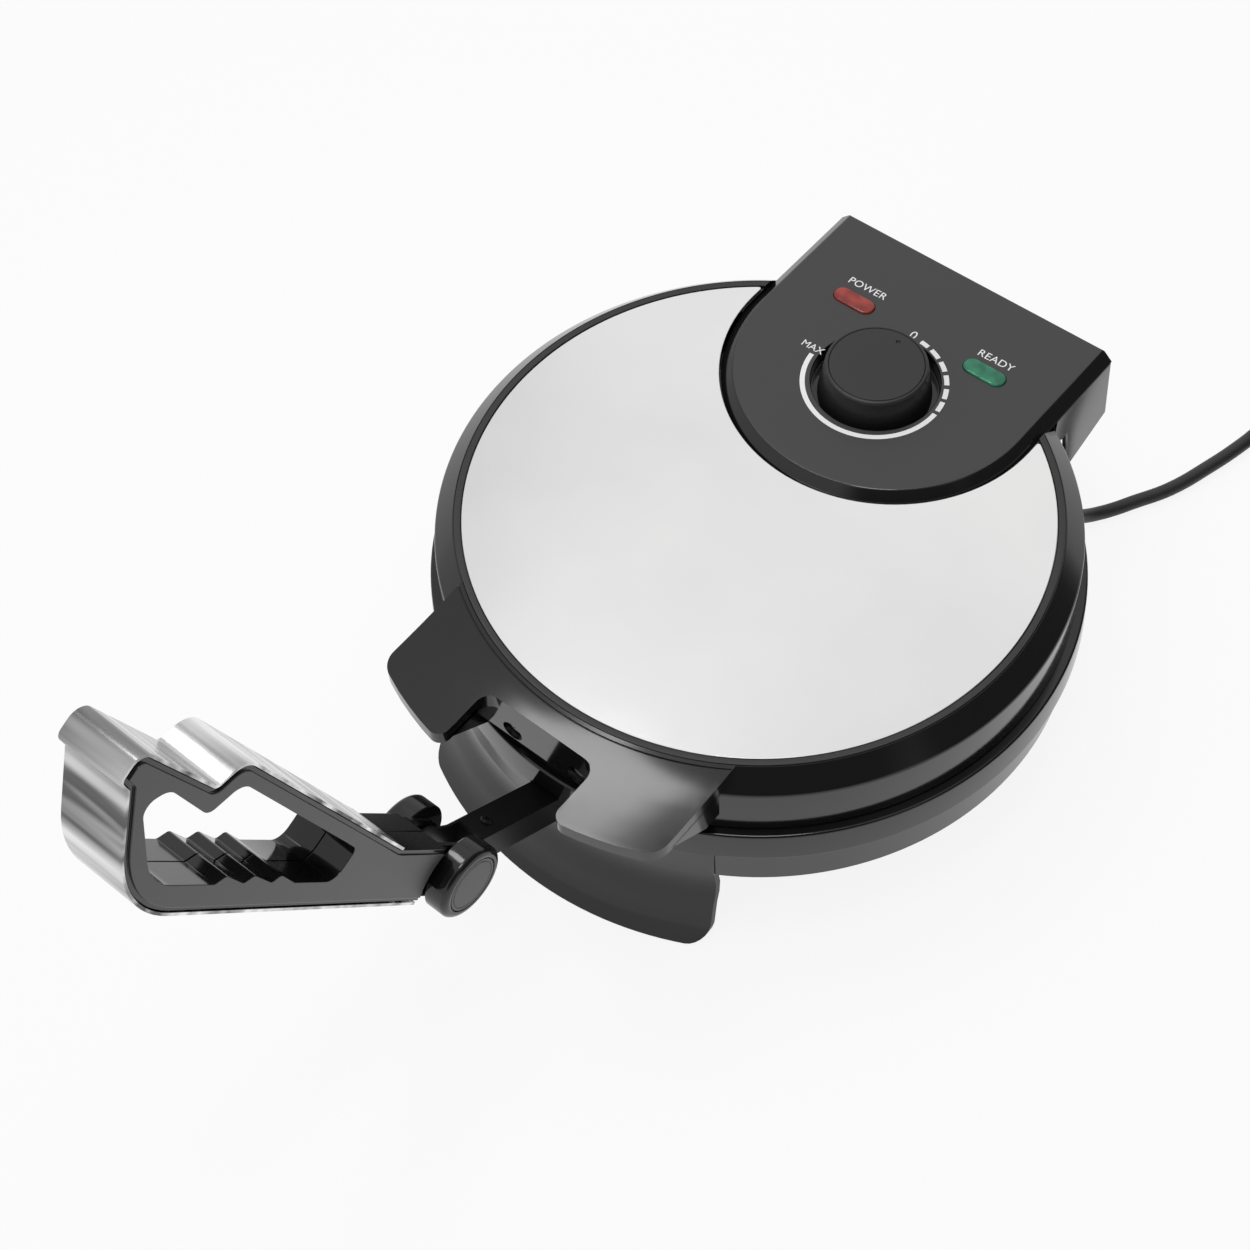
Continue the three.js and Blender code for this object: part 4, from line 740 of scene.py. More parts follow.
# Steel cover and trim ring
# The lid's top is one disc of satin stainless sheet, cut away at the rear for the panel, with a rolled
# edge. A narrow black plastic ring covers the joint between the sheet and the shell.
cover_radius = 0.130
cover_sheet = 0.0008
panel_bevel = 0.0053
cover_side = panel_half + panel_bevel + 0.0009
cover_corner = math.sqrt(cover_radius ** 2 - cover_side ** 2)
cover_start = math.atan2(cover_corner, -cover_side)
cover_sweep = 2 * math.pi - 2 * (cover_start - math.pi / 2)
cover_steps = 150
cover_outline = []
for i in range(cover_steps + 1):
    angle = cover_start + cover_sweep * i / cover_steps
    cover_outline.append((cover_radius * math.cos(angle), cover_radius * math.sin(angle), 0))
for i in range(panel_steps + 1):
    angle = -math.pi * (i + 0.3) / (panel_steps + 0.6)
    cover_outline.append((cover_side * math.cos(angle), panel_centre + cover_side * math.sin(angle), 0))
cover_rounds = [0.004 if i in (0, cover_steps) else 0 for i in range(len(cover_outline))]
cover_plan = rounded(cover_outline, cover_rounds)
steel_cover = plan_raised("steel_disc", cover_plan, cover_top - cover_sheet, cover_top)
soften(steel_cover, 0.00035, 2, 60)


def vary_colour(material, signal, dark, light):
    ramp = add_node(material, "ShaderNodeValToRGB")
    ramp.color_ramp.elements[0].position = 0.35
    ramp.color_ramp.elements[0].color = (*dark, 1)
    ramp.color_ramp.elements[1].position = 0.65
    ramp.color_ramp.elements[1].color = (*light, 1)
    material.node_tree.links.new(signal, ramp.inputs["Fac"])
    material.node_tree.links.new(ramp.outputs["Color"], shader_of(material).inputs["Base Color"])


satin_steel = new_material("satin_steel", (0.80, 0.80, 0.80), 0.3, 1)
steel_cloud = grain(satin_steel, 9, (1, 1, 1), 4)
vary_roughness(satin_steel, steel_cloud, 0.15, 0.19)
vary_colour(satin_steel, steel_cloud, (0.76, 0.76, 0.765), (0.81, 0.81, 0.805))
roughen(satin_steel, grain(satin_steel, 900, (1, 0.02, 1), 2), 0.000004)
wear(steel_cover, satin_steel)
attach(steel_cover, "lid")
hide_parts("steel_cover")

trim_profile = [(0.1303, 0.1087), (0.1333, 0.1087), (0.1333, 0.1096), (0.1331, 0.1098), (0.1309, 0.1098),
                (0.1305, 0.1097), (0.1303, 0.1094)]
trim_ring = turned("trim_band", trim_profile, hub, steps=240)
cut(trim_ring, plan_raised("trim_gap", panel_outline(panel_gap), 0.1, 0.12))
smooth()
satin_black = moulded("satin_black", (0.016, 0.016, 0.017), 0.4, 800, 0.36, 0.46, 0.00002)
wear(trim_ring, satin_black)
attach(trim_ring, "lid")
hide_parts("trim_ring")


# Control panel
# The thermostat's panel, a shallow D-shaped cap in satin black with polished bevelled edges. It is
# clipped over the rear of the lid and has a round well for the knob and two slots for the lamps.
panel_top = 0.1119
dial_place = 0.0876
cup_radius = 0.0315
well_floor = 0.1045
shaft_radius = 0.0036
lamp_across = 0.0364
lamp_place = 0.1212
lamp_length = 0.0216
lamp_width = 0.0088
slot_gap = 0.0006
panel_loops = [
    (panel_bevel, 0.001, 0.1066), (0.0050, 0.001, 0.1071), (0.0010, 0.0009, 0.1109),
    (0.0005, 0.0006, 0.1114), (-0.0001, 0.0001, 0.1118), (-0.0007, -0.0006, panel_top),
]


def joined(pieces, name):
    """Several meshes made one piece."""
    deselect()
    for piece in pieces:
        piece.select_set(True)
    bpy.context.view_layer.objects.active = pieces[0]
    bpy.ops.object.join()
    bpy.context.object.name = name
    return bpy.context.object


def lofted(name, loops):
    """Closed outlines, one above the other, bridged in turn and filled at both ends."""
    rings = []
    for i, loop in enumerate(loops):
        rings.append(line_through(f"{name}_{i}", loop, True))
        bpy.ops.object.mode_set(mode="OBJECT")
    piece = joined(rings, name)
    bpy.ops.object.mode_set(mode="EDIT")
    bpy.ops.mesh.select_all(action="SELECT")
    bpy.ops.mesh.bridge_edge_loops()
    bpy.ops.mesh.select_all(action="DESELECT")
    bpy.ops.mesh.select_non_manifold()
    bpy.ops.mesh.fill_holes(sides=0)
    return settle(piece)


def pill(length, width, steps=10):
    """A slot's outline: straight sides and round ends."""
    outline = []
    for side in (1, -1):
        for i in range(steps + 1):
            angle = math.pi * (i / steps - 0.5)
            outline.append((side * (length / 2 - width / 2 + width / 2 * math.cos(angle)),
                            side * width / 2 * math.sin(angle)))
    return outline


def lamp_outline(side, margin, steps=10):
    """A lamp slot's plan on the left (-1) or right (1) of the panel, grown by a margin."""
    return [(side * lamp_across + x, lamp_place + y)
            for x, y in pill(lamp_length + margin, lamp_width + margin, steps)]


panel = lofted("panel_cap", [
    [on_hub(x, y, height) for x, y in panel_outline(margin, rear_margin)]
    for margin, rear_margin, height in panel_loops
])
cut(panel, plan_raised("panel_hollow", panel_outline(-0.0025), 0.1, panel_top - 0.0025))
dial_spot = on_hub(0, dial_place)
cup_profile = [(0, 0.102), (0.0311, 0.102), (cup_radius, 0.1024), (cup_radius, 0.1107), (0, 0.1107)]
unite(panel, turned("dial_cup", cup_profile, dial_spot, steps=96))
well_profile = [(0, well_floor), (0.0289, well_floor), (0.0293, 0.1046), (0.0295, 0.105),
                (0.0295, 0.1113), (0.0297, 0.1117), (0.0301, 0.1121), (0, 0.1121)]
cut(panel, turned("dial_well", well_profile, dial_spot, steps=96))
cut(panel, rod("shaft_bore", shaft_radius, 0.09, 0.11, dial_spot, steps=24))
for side in (-1, 1):
    cut(panel, plan_raised("lamp_slot", lamp_outline(side, slot_gap), 0.1, 0.12))
even_shading(panel)

panel_black = moulded("panel_black", (0.037, 0.037, 0.038), 0.34, 1200, 0.3, 0.38, 0.000012)
wear(panel, panel_black)
panel.data.materials.append(gloss_black)
well_edge = 0.0316
well_mouth = 0.1115
level_face = 0.93
for face in panel.data.polygons:
    in_well = (Vector(face.center) - dial_spot).to_2d().length < well_edge and face.center.z < well_mouth
    face.material_index = 1 if abs(face.normal.z) < level_face or in_well else 0
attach(panel, "lid")
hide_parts("control_panel")


# Dial print
# White screen print on the panel round the knob: an unbroken arc for the hot side, dashes down to the
# off mark, and plain words for the hot end and the two lamps. The ink film is 0.05 mm thick.
ink_height = 0.00005
ink_inner = 0.0315
ink_outer = 0.0338
ink_place = dial_place - 0.0009
dashes = ((5, 15.5), (19, 29.5), (33.5, 44), (48, 58.5), (62.5, 73), (77, 85))


def ring_part(name, inner, outer, start, end, steps):
    """A piece of a flat ring about the dial, from one angle to another."""
    outline = []
    for radius, turns in ((outer, range(steps + 1)), (inner, range(steps, -1, -1))):
        for i in turns:
            angle = math.radians(start + (end - start) * i / steps)
            outline.append((radius * math.cos(angle), ink_place + radius * math.sin(angle), 0))
    return plan_raised(name, outline, panel_top, panel_top + ink_height)


def printed(name, words, spot, size, turn=0.0, spread=1.0):
    """Sans-serif letters, laid flat on the panel and made a mesh."""
    deselect()
    bpy.ops.object.text_add(location=on_hub(spot[0], spot[1], panel_top))
    piece = bpy.context.object
    piece.name = name
    piece.data.body = words
    piece.data.size = size
    piece.data.align_x = "CENTER"
    piece.data.extrude = ink_height
    piece.data.space_character = spread
    piece.rotation_euler.z = math.radians(turn)
    bpy.ops.object.convert(target="MESH")
    bpy.ops.object.transform_apply(location=True, rotation=True, scale=True)
    return bpy.context.object


ink = [ring_part("dial_arc", ink_inner, ink_outer, 186.5, 361.5, 60)]
for start, end in dashes:
    ink.append(ring_part(f"dial_dash_{start:.0f}", ink_inner, ink_outer, start, end, 8))
ink.append(printed("word_power", "POWER", (-0.0361, 0.1296), 0.0058, 1.9, 1.04))
ink.append(printed("word_ready", "READY", (0.0364, 0.1287), 0.0058, 1.9, 1.04))
ink.append(printed("word_max", "MAX", (-0.0345, 0.0848), 0.0054, 2.2, 1.0))
ink.append(printed("figure_off", "0", (-0.0022, 0.1182), 0.0068))
dial_print = joined(ink, "dial_print")
white_ink = new_material("white_ink", (0.92, 0.92, 0.92), 0.55)
vary_roughness(white_ink, grain(white_ink, 2000), 0.5, 0.62)
wear(dial_print, white_ink)
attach(dial_print, "lid")


# Rear housing
# A gloss black box under the panel that hides the wiring and carries the hinge. Its rear wall rakes
# outwards, and two ribs inside hold the hinge pin.
housing_half = 0.0762
housing_wall = 0.0025
housing_top = 0.1063
hinge_place = 0.152
hinge_height = 0.070
hinge_eye = 0.0065
hinge_spot = on_hub(0, hinge_place, hinge_height)
pin_radius = 0.003
rib_across = 0.0635
rib_half = 0.0015


def lid_round():
    """The lid's own cylinder, to be cut from what is fixed against it."""
    return rod("lid_round", 0.1435, 0, 0.13, hub, steps=240)


def hinge_bore():
    return rod("pin_bore", pin_radius + 0.0003, -0.07, 0.07, hinge_spot, (1, 0, 0))


housing = profile_block("housing_box", [
    (-0.1365, 0.0529), (-0.1447, 0.0562), (-0.1715, 0.0665), (-0.1661, housing_top), (-0.1142, housing_top),
    (-0.1142, 0.0858), (-0.1335, 0.0858), (-0.1365, 0.0733),
], -housing_half, housing_half)
soften(housing, 0.0008, 3, 30)
housing_inside = profile_block("housing_inside", [(0, 0), (-0.1636, 0), (-0.1636, 0.12), (0, 0.12)],
                               -housing_half + housing_wall, housing_half - housing_wall)
cut(housing, housing_inside)
cut(housing, lid_round())
rib_outline = [(-hinge_place + hinge_eye, hinge_height), (-hinge_place + hinge_eye, housing_top),
               (-0.1649, housing_top), (-0.1649, hinge_height + 2 * hinge_eye),
               (-hinge_place - hinge_eye, hinge_height)]
for side in (-1, 1):
    middle = side * rib_across
    eye_spot = on_hub(middle, hinge_place, hinge_height)
    rib = profile_block("hinge_rib", rib_outline, middle - rib_half, middle + rib_half)
    cut(rib, lid_round())
    unite(rib, rod("rib_eye", hinge_eye, -rib_half, rib_half, eye_spot, (1, 0, 0), 40))
    unite(housing, rib)
cut(housing, hinge_bore())
smooth()
wear(housing, gloss_black)
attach(housing, "lid")
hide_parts("rear_housing")


# Hinge bracket and pin
# A zinc-plated steel plate, screwed to the flat rear wall of the base, with two bent lugs that hold the
# ground steel pin on which the lid turns.
zinc = new_material("zinc_steel", (0.62, 0.62, 0.63), 0.36, 1)
zinc_cloud = grain(zinc, 120)
vary_roughness(zinc, zinc_cloud, 0.3, 0.46)
vary_colour(zinc, zinc_cloud, (0.56, 0.56, 0.57), (0.68, 0.68, 0.69))
bracket_front = 0.1435
bracket_back = 0.1455
lug_across = 0.055
lug_half = 0.003
screw_row = 0.0605
slot_half = 0.0004
lug_profile = [(0, -lug_half), (hinge_eye - 0.0004, -lug_half), (hinge_eye, -0.0026),
               (hinge_eye, 0.0026), (hinge_eye - 0.0004, lug_half), (0, lug_half)]
flat_head_profile = [(0, -0.0008), (0.0032, -0.0008), (0.0032, 0), (0.0029, 0.0003), (0, 0.0003)]
bracket = plan_block("bracket_plate", (-0.06, 0.06), (bracket_front, bracket_back), (0.053, 0.068))
soften(bracket, 0.0005, 2, 60)
for side in (-1, 1):
    middle = side * lug_across
    web = plan_block("bracket_web", (middle - lug_half, middle + lug_half), (bracket_front, hinge_place),
                     (hinge_height - hinge_eye, hinge_height + hinge_eye))
    eye_spot = on_hub(middle, hinge_place, hinge_height)
    unite(web, turned("bracket_eye", lug_profile, eye_spot, (1, 0, 0), steps=40))
    unite(bracket, web)
    for across in (side * 0.018, side * 0.038):
        head = turned("bracket_screw", flat_head_profile, on_hub(across, bracket_back, screw_row), (0, 1, 0),
                      steps=32)
        slot = plan_block("screw_slot", (across - slot_half, across + slot_half), (0.1453, 0.147),
                          (screw_row - 0.003, screw_row + 0.003))
        cut(head, slot)
        wear(head, zinc)
        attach(head, "base")
cut(bracket, hinge_bore())
smooth()
wear(bracket, zinc)
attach(bracket, "base")
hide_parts("hinge_bracket")
rod_profile = [(0, -0.0665), (0.0026, -0.0665), (pin_radius, -0.0661), (pin_radius, 0.0661),
               (0.0026, 0.0665), (0, 0.0665)]
hinge_rod = turned("hinge_rod", rod_profile, hinge_spot, (1, 0, 0), steps=32)
wear(hinge_rod, zinc)
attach(hinge_rod, "base")
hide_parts("hinge_pin")


# Knob
# A round knob moulded in satin black, with a fine ring groove near its rim, a dimple for a pointer,
# and a slightly flared skirt that drops into the panel's well. It grips the thermostat's shaft.
knob_low = 0.1048
knob_high = 0.1230
pip_place = dial_place + 0.0165
knob_profile = [
    (0, 0.1198), (0.0033, 0.1198), (0.0033, 0.1080), (0.0070, 0.1080), (0.0070, 0.1198), (0.0202, 0.1198),
    (0.0230, knob_low), (0.0259, knob_low), (0.0262, 0.1051), (0.0261, 0.1060), (0.0236, 0.1216),
    (0.0234, 0.1224), (0.0231, 0.1228), (0.0226, 0.1230), (0.0219, 0.12302), (0.0217, 0.12265),
    (0.0214, 0.12302), (0.0150, 0.1232), (0.0070, 0.1233), (0, 0.12335),
]
knob = turned("dial_knob", knob_profile, dial_spot, steps=120)
pip = turned("pointer_pip", [(0, -0.0007), (0.0007, -0.0005), (0.0011, 0), (0.0013, 0.0009), (0, 0.0009)],
             on_hub(0, pip_place, knob_high + 0.0001), steps=24)
cut(knob, pip)
smooth()
wear(knob, moulded("knob_black", (0.015, 0.015, 0.016), 0.38, 1100, 0.34, 0.44, 0.000015))
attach(knob, "knob_turning")
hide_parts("knob")


# Lamp lenses
# Two clear coloured lenses, red on the left and green on the right, pressed up into the panel's slots
# from below. Their colour is mottled with painted light and shade, for the lamps and the dark space under
# them.
for name, node, side, colour, slot in (
    ("lens_red", "red_lens", -1, (0.42, 0.035, 0.022), "red_plastic"),
    ("lens_green", "green_lens", 1, (0.012, 0.27, 0.14), "green_plastic"),
):
    lens = plan_raised(name, lamp_outline(side, 0, 14), 0.1085, 0.1128)
    soften(lens, 0.0008, 4, 50)
    unite(lens, plan_raised("lens_lip", lamp_outline(side, 0.0024, 14), 0.1079, 0.1091))
    smooth()
    tint = new_material(name + "_tint", colour, 0.08)
    shader_of(tint).inputs["Transmission Weight"].default_value = 0.35
    shader_of(tint).inputs["IOR"].default_value = 1.49
    # The mottle paints light and shade into the lens colour, lighter and darker at random; the same grain
    # varies the roughness.
    mottle = grain(tint, 130, (1, 1, 1), 1)
    darker = tuple(part * 0.75 for part in colour)
    lighter = tuple(part * 1.35 + 0.02 for part in colour)
    vary_colour(tint, mottle, darker, lighter)
    vary_roughness(tint, mottle, 0.06, 0.12)
    wear(lens, tint)
    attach(lens, "lid")
    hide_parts(node)


# Notch screws
# Two cross-head screws in counterbored seats hold the notch wall to the frame of the lid.
head_set_back = 0.0038
dark_screw = new_material("dark_screw", (0.55, 0.55, 0.56), 0.45, 1)
vary_roughness(dark_screw, grain(dark_screw, 500), 0.38, 0.5)


def cross_screw(name, spot, along, head, deep, shank, length):
    """A pan-head screw with a cross recess: the head's radius and height, the shank's radius and length."""
    along = Vector(along).normalized()
    screw = turned(name, [(0, -length), (shank, -length), (shank, 0), (head, 0), (head * 0.98, deep * 0.35),
                          (head * 0.8, deep * 0.85), (head * 0.55, deep), (0, deep)], spot, along, steps=40)
    across = along.orthogonal().normalized()
    for side in (across, along.cross(across)):
        other = along.cross(side)
        reach, half = head * 0.5, head * 0.11
        corners = [Vector(spot) + side * a + other * b + along * deep * 0.35
                   for a, b in ((-reach, -half), (reach, -half), (reach, half), (-reach, half))]
        cut(screw, raised("cross_arm", corners, along * deep))
    smooth()
    wear(screw, dark_screw)
    return screw


for hand, side in (("left", -1), ("right", 1)):
    spot = on_hub(side * screw_across, -notch_back + head_set_back, screw_height)
    screw = cross_screw("notch_screw_" + hand, spot, (0, -1, 0), 0.0041, 0.0016, 0.0019, 0.009)
    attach(screw, "lid")
    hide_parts("lid_screw_" + hand)


# Lever arm
# A black-painted channel of bent steel sheet, bolted into the base, whose forked end carries the lever's
# pivot. A plastic block inside it is held by one small cross-head screw.
arm_root = 0.097
arm_low = arm_top - arm_depth
arm_lug = 0.0096
arm_sheet = 0.0015
arm_inner = arm_half - arm_sheet
bolt_radius = 0.002
pivot_radius = 0.003
bore_gap = 0.0003
bolt_spot = lever_point(-0.0925, -0.0032, arm_angle)
arm_screw_place = -0.0326
arm_up = (lever_point(0, 1, arm_angle) - lever_point(0, 0, arm_angle)).normalized()


def arm_solid(name, outline, half):
    return side_raised(name, outline, arm_angle, -half, half)


def pivot_bore():
    return rod("pivot_bore", pivot_radius + bore_gap, -0.02, 0.02, pivot_spot, (1, 0, 0))


neck_outline = [(-arm_lug * 1.6, arm_low), (0, -arm_lug), (0, arm_lug * 0.9), (-arm_lug * 1.6, arm_top)]
arm = arm_solid("arm_channel", upright_box(-arm_root, -arm_lug, arm_low, arm_top), arm_half)
unite(arm, arm_solid("arm_neck", neck_outline, arm_half))
unite(arm, rod("arm_lug", arm_lug, -arm_half, arm_half, pivot_spot, (1, 0, 0), 64))
soften(arm, 0.0006, 3, 50)
hollow = upright_box(-arm_end, -arm_start, arm_low - 0.003, arm_top - arm_sheet)
cut(arm, arm_solid("arm_hollow", hollow, arm_inner))
cut(arm, arm_solid("arm_fork", upright_box(-arm_start, 0.02, -0.03, 0.03), arm_inner))
cut(arm, pivot_bore())
cut(arm, rod("bolt_bore", bolt_radius + bore_gap, -0.02, 0.02, bolt_spot, (1, 0, 0), 24))
screw_spot = lever_point(arm_screw_place, 0, arm_angle)
cut(arm, rod("screw_bore", 0.0018, -0.003, 0.012, screw_spot, arm_up, 24))
even_shading(arm)
painted_steel = moulded("painted_steel", (0.007, 0.007, 0.008), 0.35, 420, 0.3, 0.42, 0.00003)
shader_of(painted_steel).inputs["Specular IOR Level"].default_value = 0.2
wear(arm, painted_steel)
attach(arm, "base")
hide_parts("arm")
screw_spot = lever_point(arm_screw_place, arm_top + 0.0003, arm_angle)
arm_screw = cross_screw("arm_pan_screw", screw_spot, arm_up, 0.0028, 0.0012, 0.0015, 0.007)
wear(arm_screw, painted_steel)
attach(arm_screw, "base")
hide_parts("arm_screw")


# Pivot caps
# A gloss black plastic cap is pressed on each end of the pivot. It has a rolled rim, and a satin disc
# is pressed into the hollow of its face.
cap_profile = [
    (0.0033, 0.0106), (0.0164, 0.0106), (0.0168, 0.0110), (0.0168, 0.0187), (0.0167, 0.0194),
    (0.0163, 0.0201), (0.0157, 0.0207), (0.0150, 0.0211), (0.0142, 0.0213), (0.0133, 0.0213),
    (0.0130, 0.0212), (0.0129, 0.0209), (0.0129, 0.0199), (0.0033, 0.0199),
]
inlay_profile = [
    (0, 0.0202), (0.0125, 0.0202), (0.0126, 0.0203), (0.0126, 0.0209), (0.0124, 0.0212),
    (0.0113, 0.0212), (0.0112, 0.0210), (0.0110, 0.0210), (0.0109, 0.0212), (0, 0.02125),
]
for side, hand in ((1, "right"), (-1, "left")):
    cap = turned("cap_" + hand, cap_profile, pivot_spot, (side, 0, 0), steps=96)
    wear(cap, gloss_black)
    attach(cap, "base")
    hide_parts("pivot_cap_" + hand)
    inlay = turned("inlay_" + hand, inlay_profile, pivot_spot, (side, 0, 0), steps=96)
    wear(inlay, panel_black)
    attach(inlay, "base")
    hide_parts("cap_inlay_" + hand)


# Handle halves
# Two black moulded halves, screwed together from the left, that make a D-shaped grip. Their side faces
# stand out a little, the finger hole has waves along its lower wall, and thin cheeks reach the pivot.
handle_angle = 55.06
handle_length = 0.2464
handle_height = 0.0568
handle_below = 0.0124
handle_half = 0.014
cheek_inner = 0.0079
cheek_outer = 0.0102
step_width = 0.0017
step_floor = 0.0131
screw_seat = -0.0119
side_facing = 0.98
side_start = handle_half - 0.0002
handle_shares = [(0.081, 0), (0.86, 0), (0.977, 0.785), (1, 0.827), (0.994, 1), (0.801, 0.806),
                 (0.768, 0.996), (0.229, 0.41), (0.081, 0.419)]
handle_rounds = [0, 0.055, 0.002, 0.002, 0.005, 0.004, 0.009, 0.012, 0]
hole_shares = [(0.381, 0.183), (0.488, 0.183), (0.534, 0.241), (0.548, 0.187), (0.601, 0.241),
               (0.618, 0.187), (0.669, 0.241), (0.687, 0.183), (0.832, 0.187), (0.937, 0.685),
               (0.901, 0.799), (0.79, 0.648), (0.75, 0.861), (0.418, 0.486), (0.371, 0.43)]
wave_round = 0.0026
hole_rounds = [0.007, 0] + [wave_round] * 6 + [0.026, 0.006, 0.008, 0.005, 0.008, 0.006, 0.003]
screw_shares = [(0.345, 0.3), (0.74, 0.09), (0.957, 0.87)]
bore_profile = [(0, -0.006), (0.0018, -0.006), (0.0018, 0.0116), (0.0034, 0.0116), (0.0034, 0.017),
                (0, 0.017)]


def handle_place(along, up):
    return (along * handle_length, up * handle_height - handle_below, 0)


def handle_solid(name, outline, left, right):
    return side_raised(name, outline, handle_angle, min(left, right), max(left, right))


def screw_point(share, x):
    u, v, _ = handle_place(*share)
    return lever_point(u, v, handle_angle, x)


handle_core = rounded([handle_place(*share) for share in handle_shares], handle_rounds, 12)
finger_hole = rounded([handle_place(*share) for share in hole_shares], hole_rounds, 8)
cheek_low = -handle_below
cheek_front, cheek_high, _ = handle_place(*handle_shares[-1])
cheek_outline = upright_box(0, cheek_front + 0.003, cheek_low, cheek_high)
handle_side = moulded("handle_side", (0.05, 0.05, 0.052), 0.3, 1300, 0.26, 0.34, 0.000012)

for side, hand in ((1, "right"), (-1, "left")):
    half = handle_solid("grip_" + hand, handle_core, side * 0.00015, side * step_floor)
    side_face = handle_solid("side_face", grown(handle_core, -step_width), side * 0.011, side * handle_half)
    unite(half, side_face)
    cut(half, handle_solid("finger_hole", finger_hole, -0.02, 0.02))
    soften(half, 0.0004, 2, 55)
    out = (side, 0, 0)
    cheek = handle_solid("cheek", cheek_outline, side * cheek_inner, side * cheek_outer)
    unite(cheek, rod("cheek_eye", 0.0108, cheek_inner, cheek_outer, pivot_spot, out, 64))
    unite(half, cheek)
    cut(half, rod("cap_pocket", 0.024, cheek_outer, 0.017, pivot_spot, out, 96))
    cut(half, pivot_bore())
    for share in screw_shares:
        bore = turned("screw_bore", bore_profile, screw_point(share, 0), (-1, 0, 0), steps=28)
        cut(half, bore)
    even_shading(half)
    wear(half, gloss_black)
    half.data.materials.append(handle_side)
    for face in half.data.polygons:
        on_side = abs(face.normal.x) > side_facing and abs(face.center.x) > side_start
        face.material_index = 1 if on_side else 0
    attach(half, "handle")
    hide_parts("handle_half_" + hand)

for number, share in enumerate(screw_shares, 1):
    spot = screw_point(share, screw_seat)
    screw = cross_screw(f"grip_screw_{number}", spot, (-1, 0, 0), 0.0031, 0.0014, 0.0015, 0.012)
    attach(screw, "handle")
    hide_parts(f"handle_screw_{number}")


# Handle wrap
# A band of polished stainless sheet that is bent round the outside of the grip, from the underside of
# the neck over the end and back down to the top of the neck.
wrap_half = 0.0137
wrap_outer = 0.0015
wrap_inner = 0.0003
wrap = handle_solid("steel_band", grown(handle_core, wrap_outer), -wrap_half, wrap_half)
cut(wrap, handle_solid("band_inside", grown(handle_core, wrap_inner), -0.02, 0.02))
band_end = [(-0.003, -0.05), (0.023, -0.05), (0.023, 0), (0.056, 0), (0.056, 0.05), (-0.003, 0.05)]
cut(wrap, handle_solid("band_end", band_end, -0.02, 0.02))
soften(wrap, 0.0004, 3, 55)
polished_steel = new_material("polished_steel", (0.7, 0.7, 0.7), 0.2, 1)
# One stretched grain sets the steel's roughness and relief, and also paints dark and bright streaks into its
# colour: painted reflections of the surroundings.
ripples_and_painted_reflections = grain(polished_steel, 85, (0.1, 1, 1), 2)
vary_roughness(polished_steel, ripples_and_painted_reflections, 0.16, 0.26)
vary_colour(polished_steel, ripples_and_painted_reflections, (0.1, 0.1, 0.1), (0.84, 0.84, 0.84))
roughen(polished_steel, ripples_and_painted_reflections, 0.0012)
wear(wrap, polished_steel)
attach(wrap, "handle")
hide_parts("handle_wrap")


# Hot plates
# Two cast aluminium plates with a dark non-stick coat and a raised rim, one in the base and one turned
# over in the lid, each with a thin flange that sits on the shell's ledge.
plate_profile = [
    (0, 0.0014), (0.1230, 0.0014), (0.1241, 0.0012), (0.1252, 0.0003), (0.1257, 0), (0.1277, 0),
    (0.1280, 0.0003), (0.1280, 0.0006), (0.13915, 0.0006), (0.13915, 0.0032), (0.1280, 0.0032),
    (0.1255, 0.0050), (0, 0.0050),
]
non_stick = new_material("non_stick", (0.030, 0.030, 0.032), 0.45)
coat_speckle = grain(non_stick, 1500, (1, 1, 1), 4)
vary_roughness(non_stick, coat_speckle, 0.36, 0.56)
vary_colour(non_stick, coat_speckle, (0.022, 0.022, 0.024), (0.045, 0.045, 0.047))
roughen(non_stick, coat_speckle, 0.00003)
for name, node, body, turn, height in (
    ("plate_top", "upper_plate", "lid", 1, 0.07715), ("plate_bottom", "lower_plate", "base", -1, 0.07685),
):
    profile = [(radius, height + turn * rise) for radius, rise in plate_profile]
    plate = turned(name, profile, hub)
    wear(plate, non_stick)
    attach(plate, body)
    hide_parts(node)


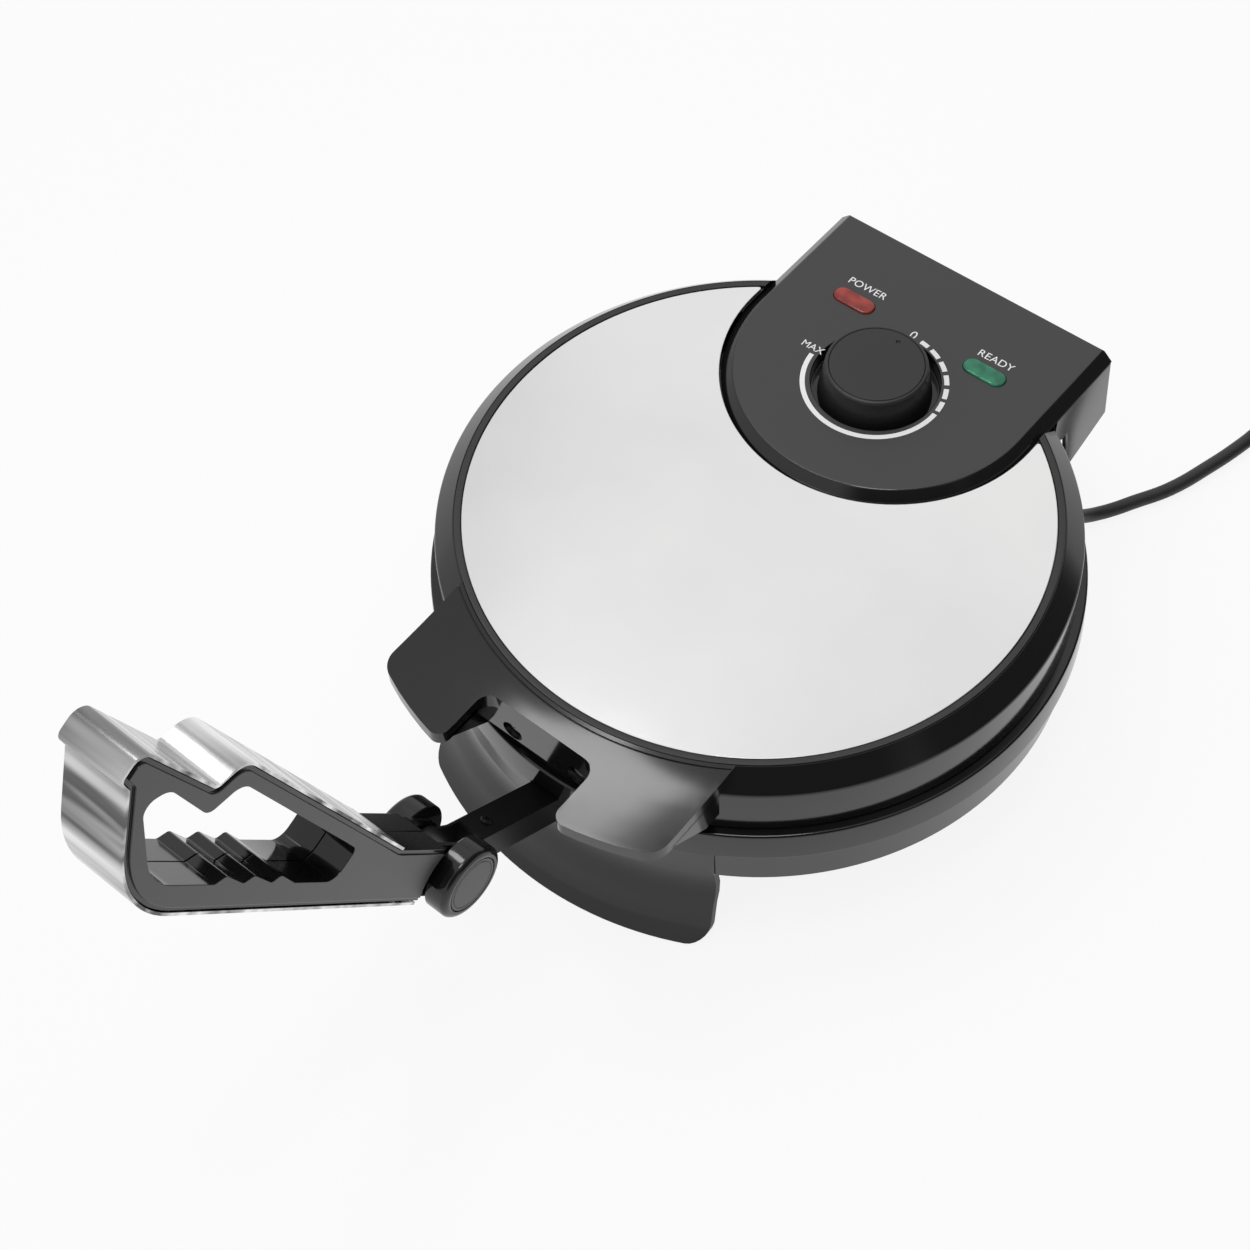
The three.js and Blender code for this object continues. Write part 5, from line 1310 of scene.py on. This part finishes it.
# Underside cover and feet
# A shallow satin black pan that closes the base, with cooling slots, and four rubber feet moulded with a
# chamfer. The lead's gland passes through its sloping wall.
pan_high = 0.0363
pan_low = 0.0338
pan_floor = 0.014
pan_inside = pan_floor + 0.0025
pan_profile = [
    (0, pan_floor), (0.1092, pan_floor), (0.1100, 0.0144), (0.1137, 0.0328), (0.1143, pan_low),
    (0.1423, pan_low), (0.1423, pan_high), (0.11275, pan_high), (0.10875, pan_inside), (0, pan_inside),
]
vent_pitch = 0.009
foot_profile = [
    (0, 0.0006), (0.0034, 0.0006), (0.0038, 0), (0.0080, 0), (0.0086, 0.0004), (0.0099, 0.0064),
    (0.01, 0.0072), (0.01, 0.0137), (0, 0.0137),
]
pan = turned("pan_cover", pan_profile, hub)
for row in range(-2, 3):
    vent_outline = [(x, row * vent_pitch + y) for x, y in pill(0.026, 0.003, 6)]
    cut(pan, plan_raised("vent", vent_outline, 0, 0.02))
cut(pan, rod("gland_bore", 0.0055, -0.010, 0.007, gland_seat, gland_out, 40))
smooth()
wear(pan, satin_black)
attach(pan, "base")
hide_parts("underside_cover")

foot_ring = 0.097
for hand, angle in (("rear_right", 35), ("rear_left", -35), ("front_right", 145), ("front_left", 215)):
    turn = math.radians(angle)
    spot = on_hub(foot_ring * math.sin(turn), foot_ring * math.cos(turn))
    rubber_foot = turned("rubber_" + hand, foot_profile, spot, steps=64)
    wear(rubber_foot, soft_rubber)
    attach(rubber_foot, "base")
    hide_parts("foot_" + hand)


# Parts inside the shells
# Heater tubes, pressed reflectors, thermostat, terminal block, lamps, bolt and pins keep their CAD shape,
# because they sit inside the shells, and take the finish of their own metal, ceramic or glass.
sheet_metal = new_material("reflector_sheet", (0.60, 0.60, 0.61), 0.4, 1)
vary_roughness(sheet_metal, grain(sheet_metal, 60, (1, 1, 4)), 0.34, 0.5)
heater_steel = new_material("heater_steel", (0.34, 0.32, 0.30), 0.5, 1)
heater_tint = grain(heater_steel, 45)
vary_roughness(heater_steel, heater_tint, 0.42, 0.6)
vary_colour(heater_steel, heater_tint, (0.25, 0.22, 0.20), (0.42, 0.41, 0.40))
pale_plastic = new_material("pale_plastic", (0.72, 0.70, 0.64), 0.5)
vary_roughness(pale_plastic, grain(pale_plastic, 400), 0.45, 0.58)
lamp_glass = new_material("lamp_glass", (0.85, 0.87, 0.88), 0.06)
shader_of(lamp_glass).inputs["Transmission Weight"].default_value = 0.8
vary_roughness(lamp_glass, grain(lamp_glass, 200), 0.04, 0.1)
for material, names in (
    (heater_steel, ("upper_element", "lower_element")),
    (sheet_metal, ("upper_shield", "lower_shield")),
    (zinc, ("thermostat", "thermostat_shaft", "arm_bolt", "pivot_pin")),
    (pale_plastic, ("terminal_block",)),
    (lamp_glass, ("red_lamp", "green_lamp")),
    (satin_black, ("arm_insert",)),
):
    for name in names:
        wear(bpy.data.objects[name], material)
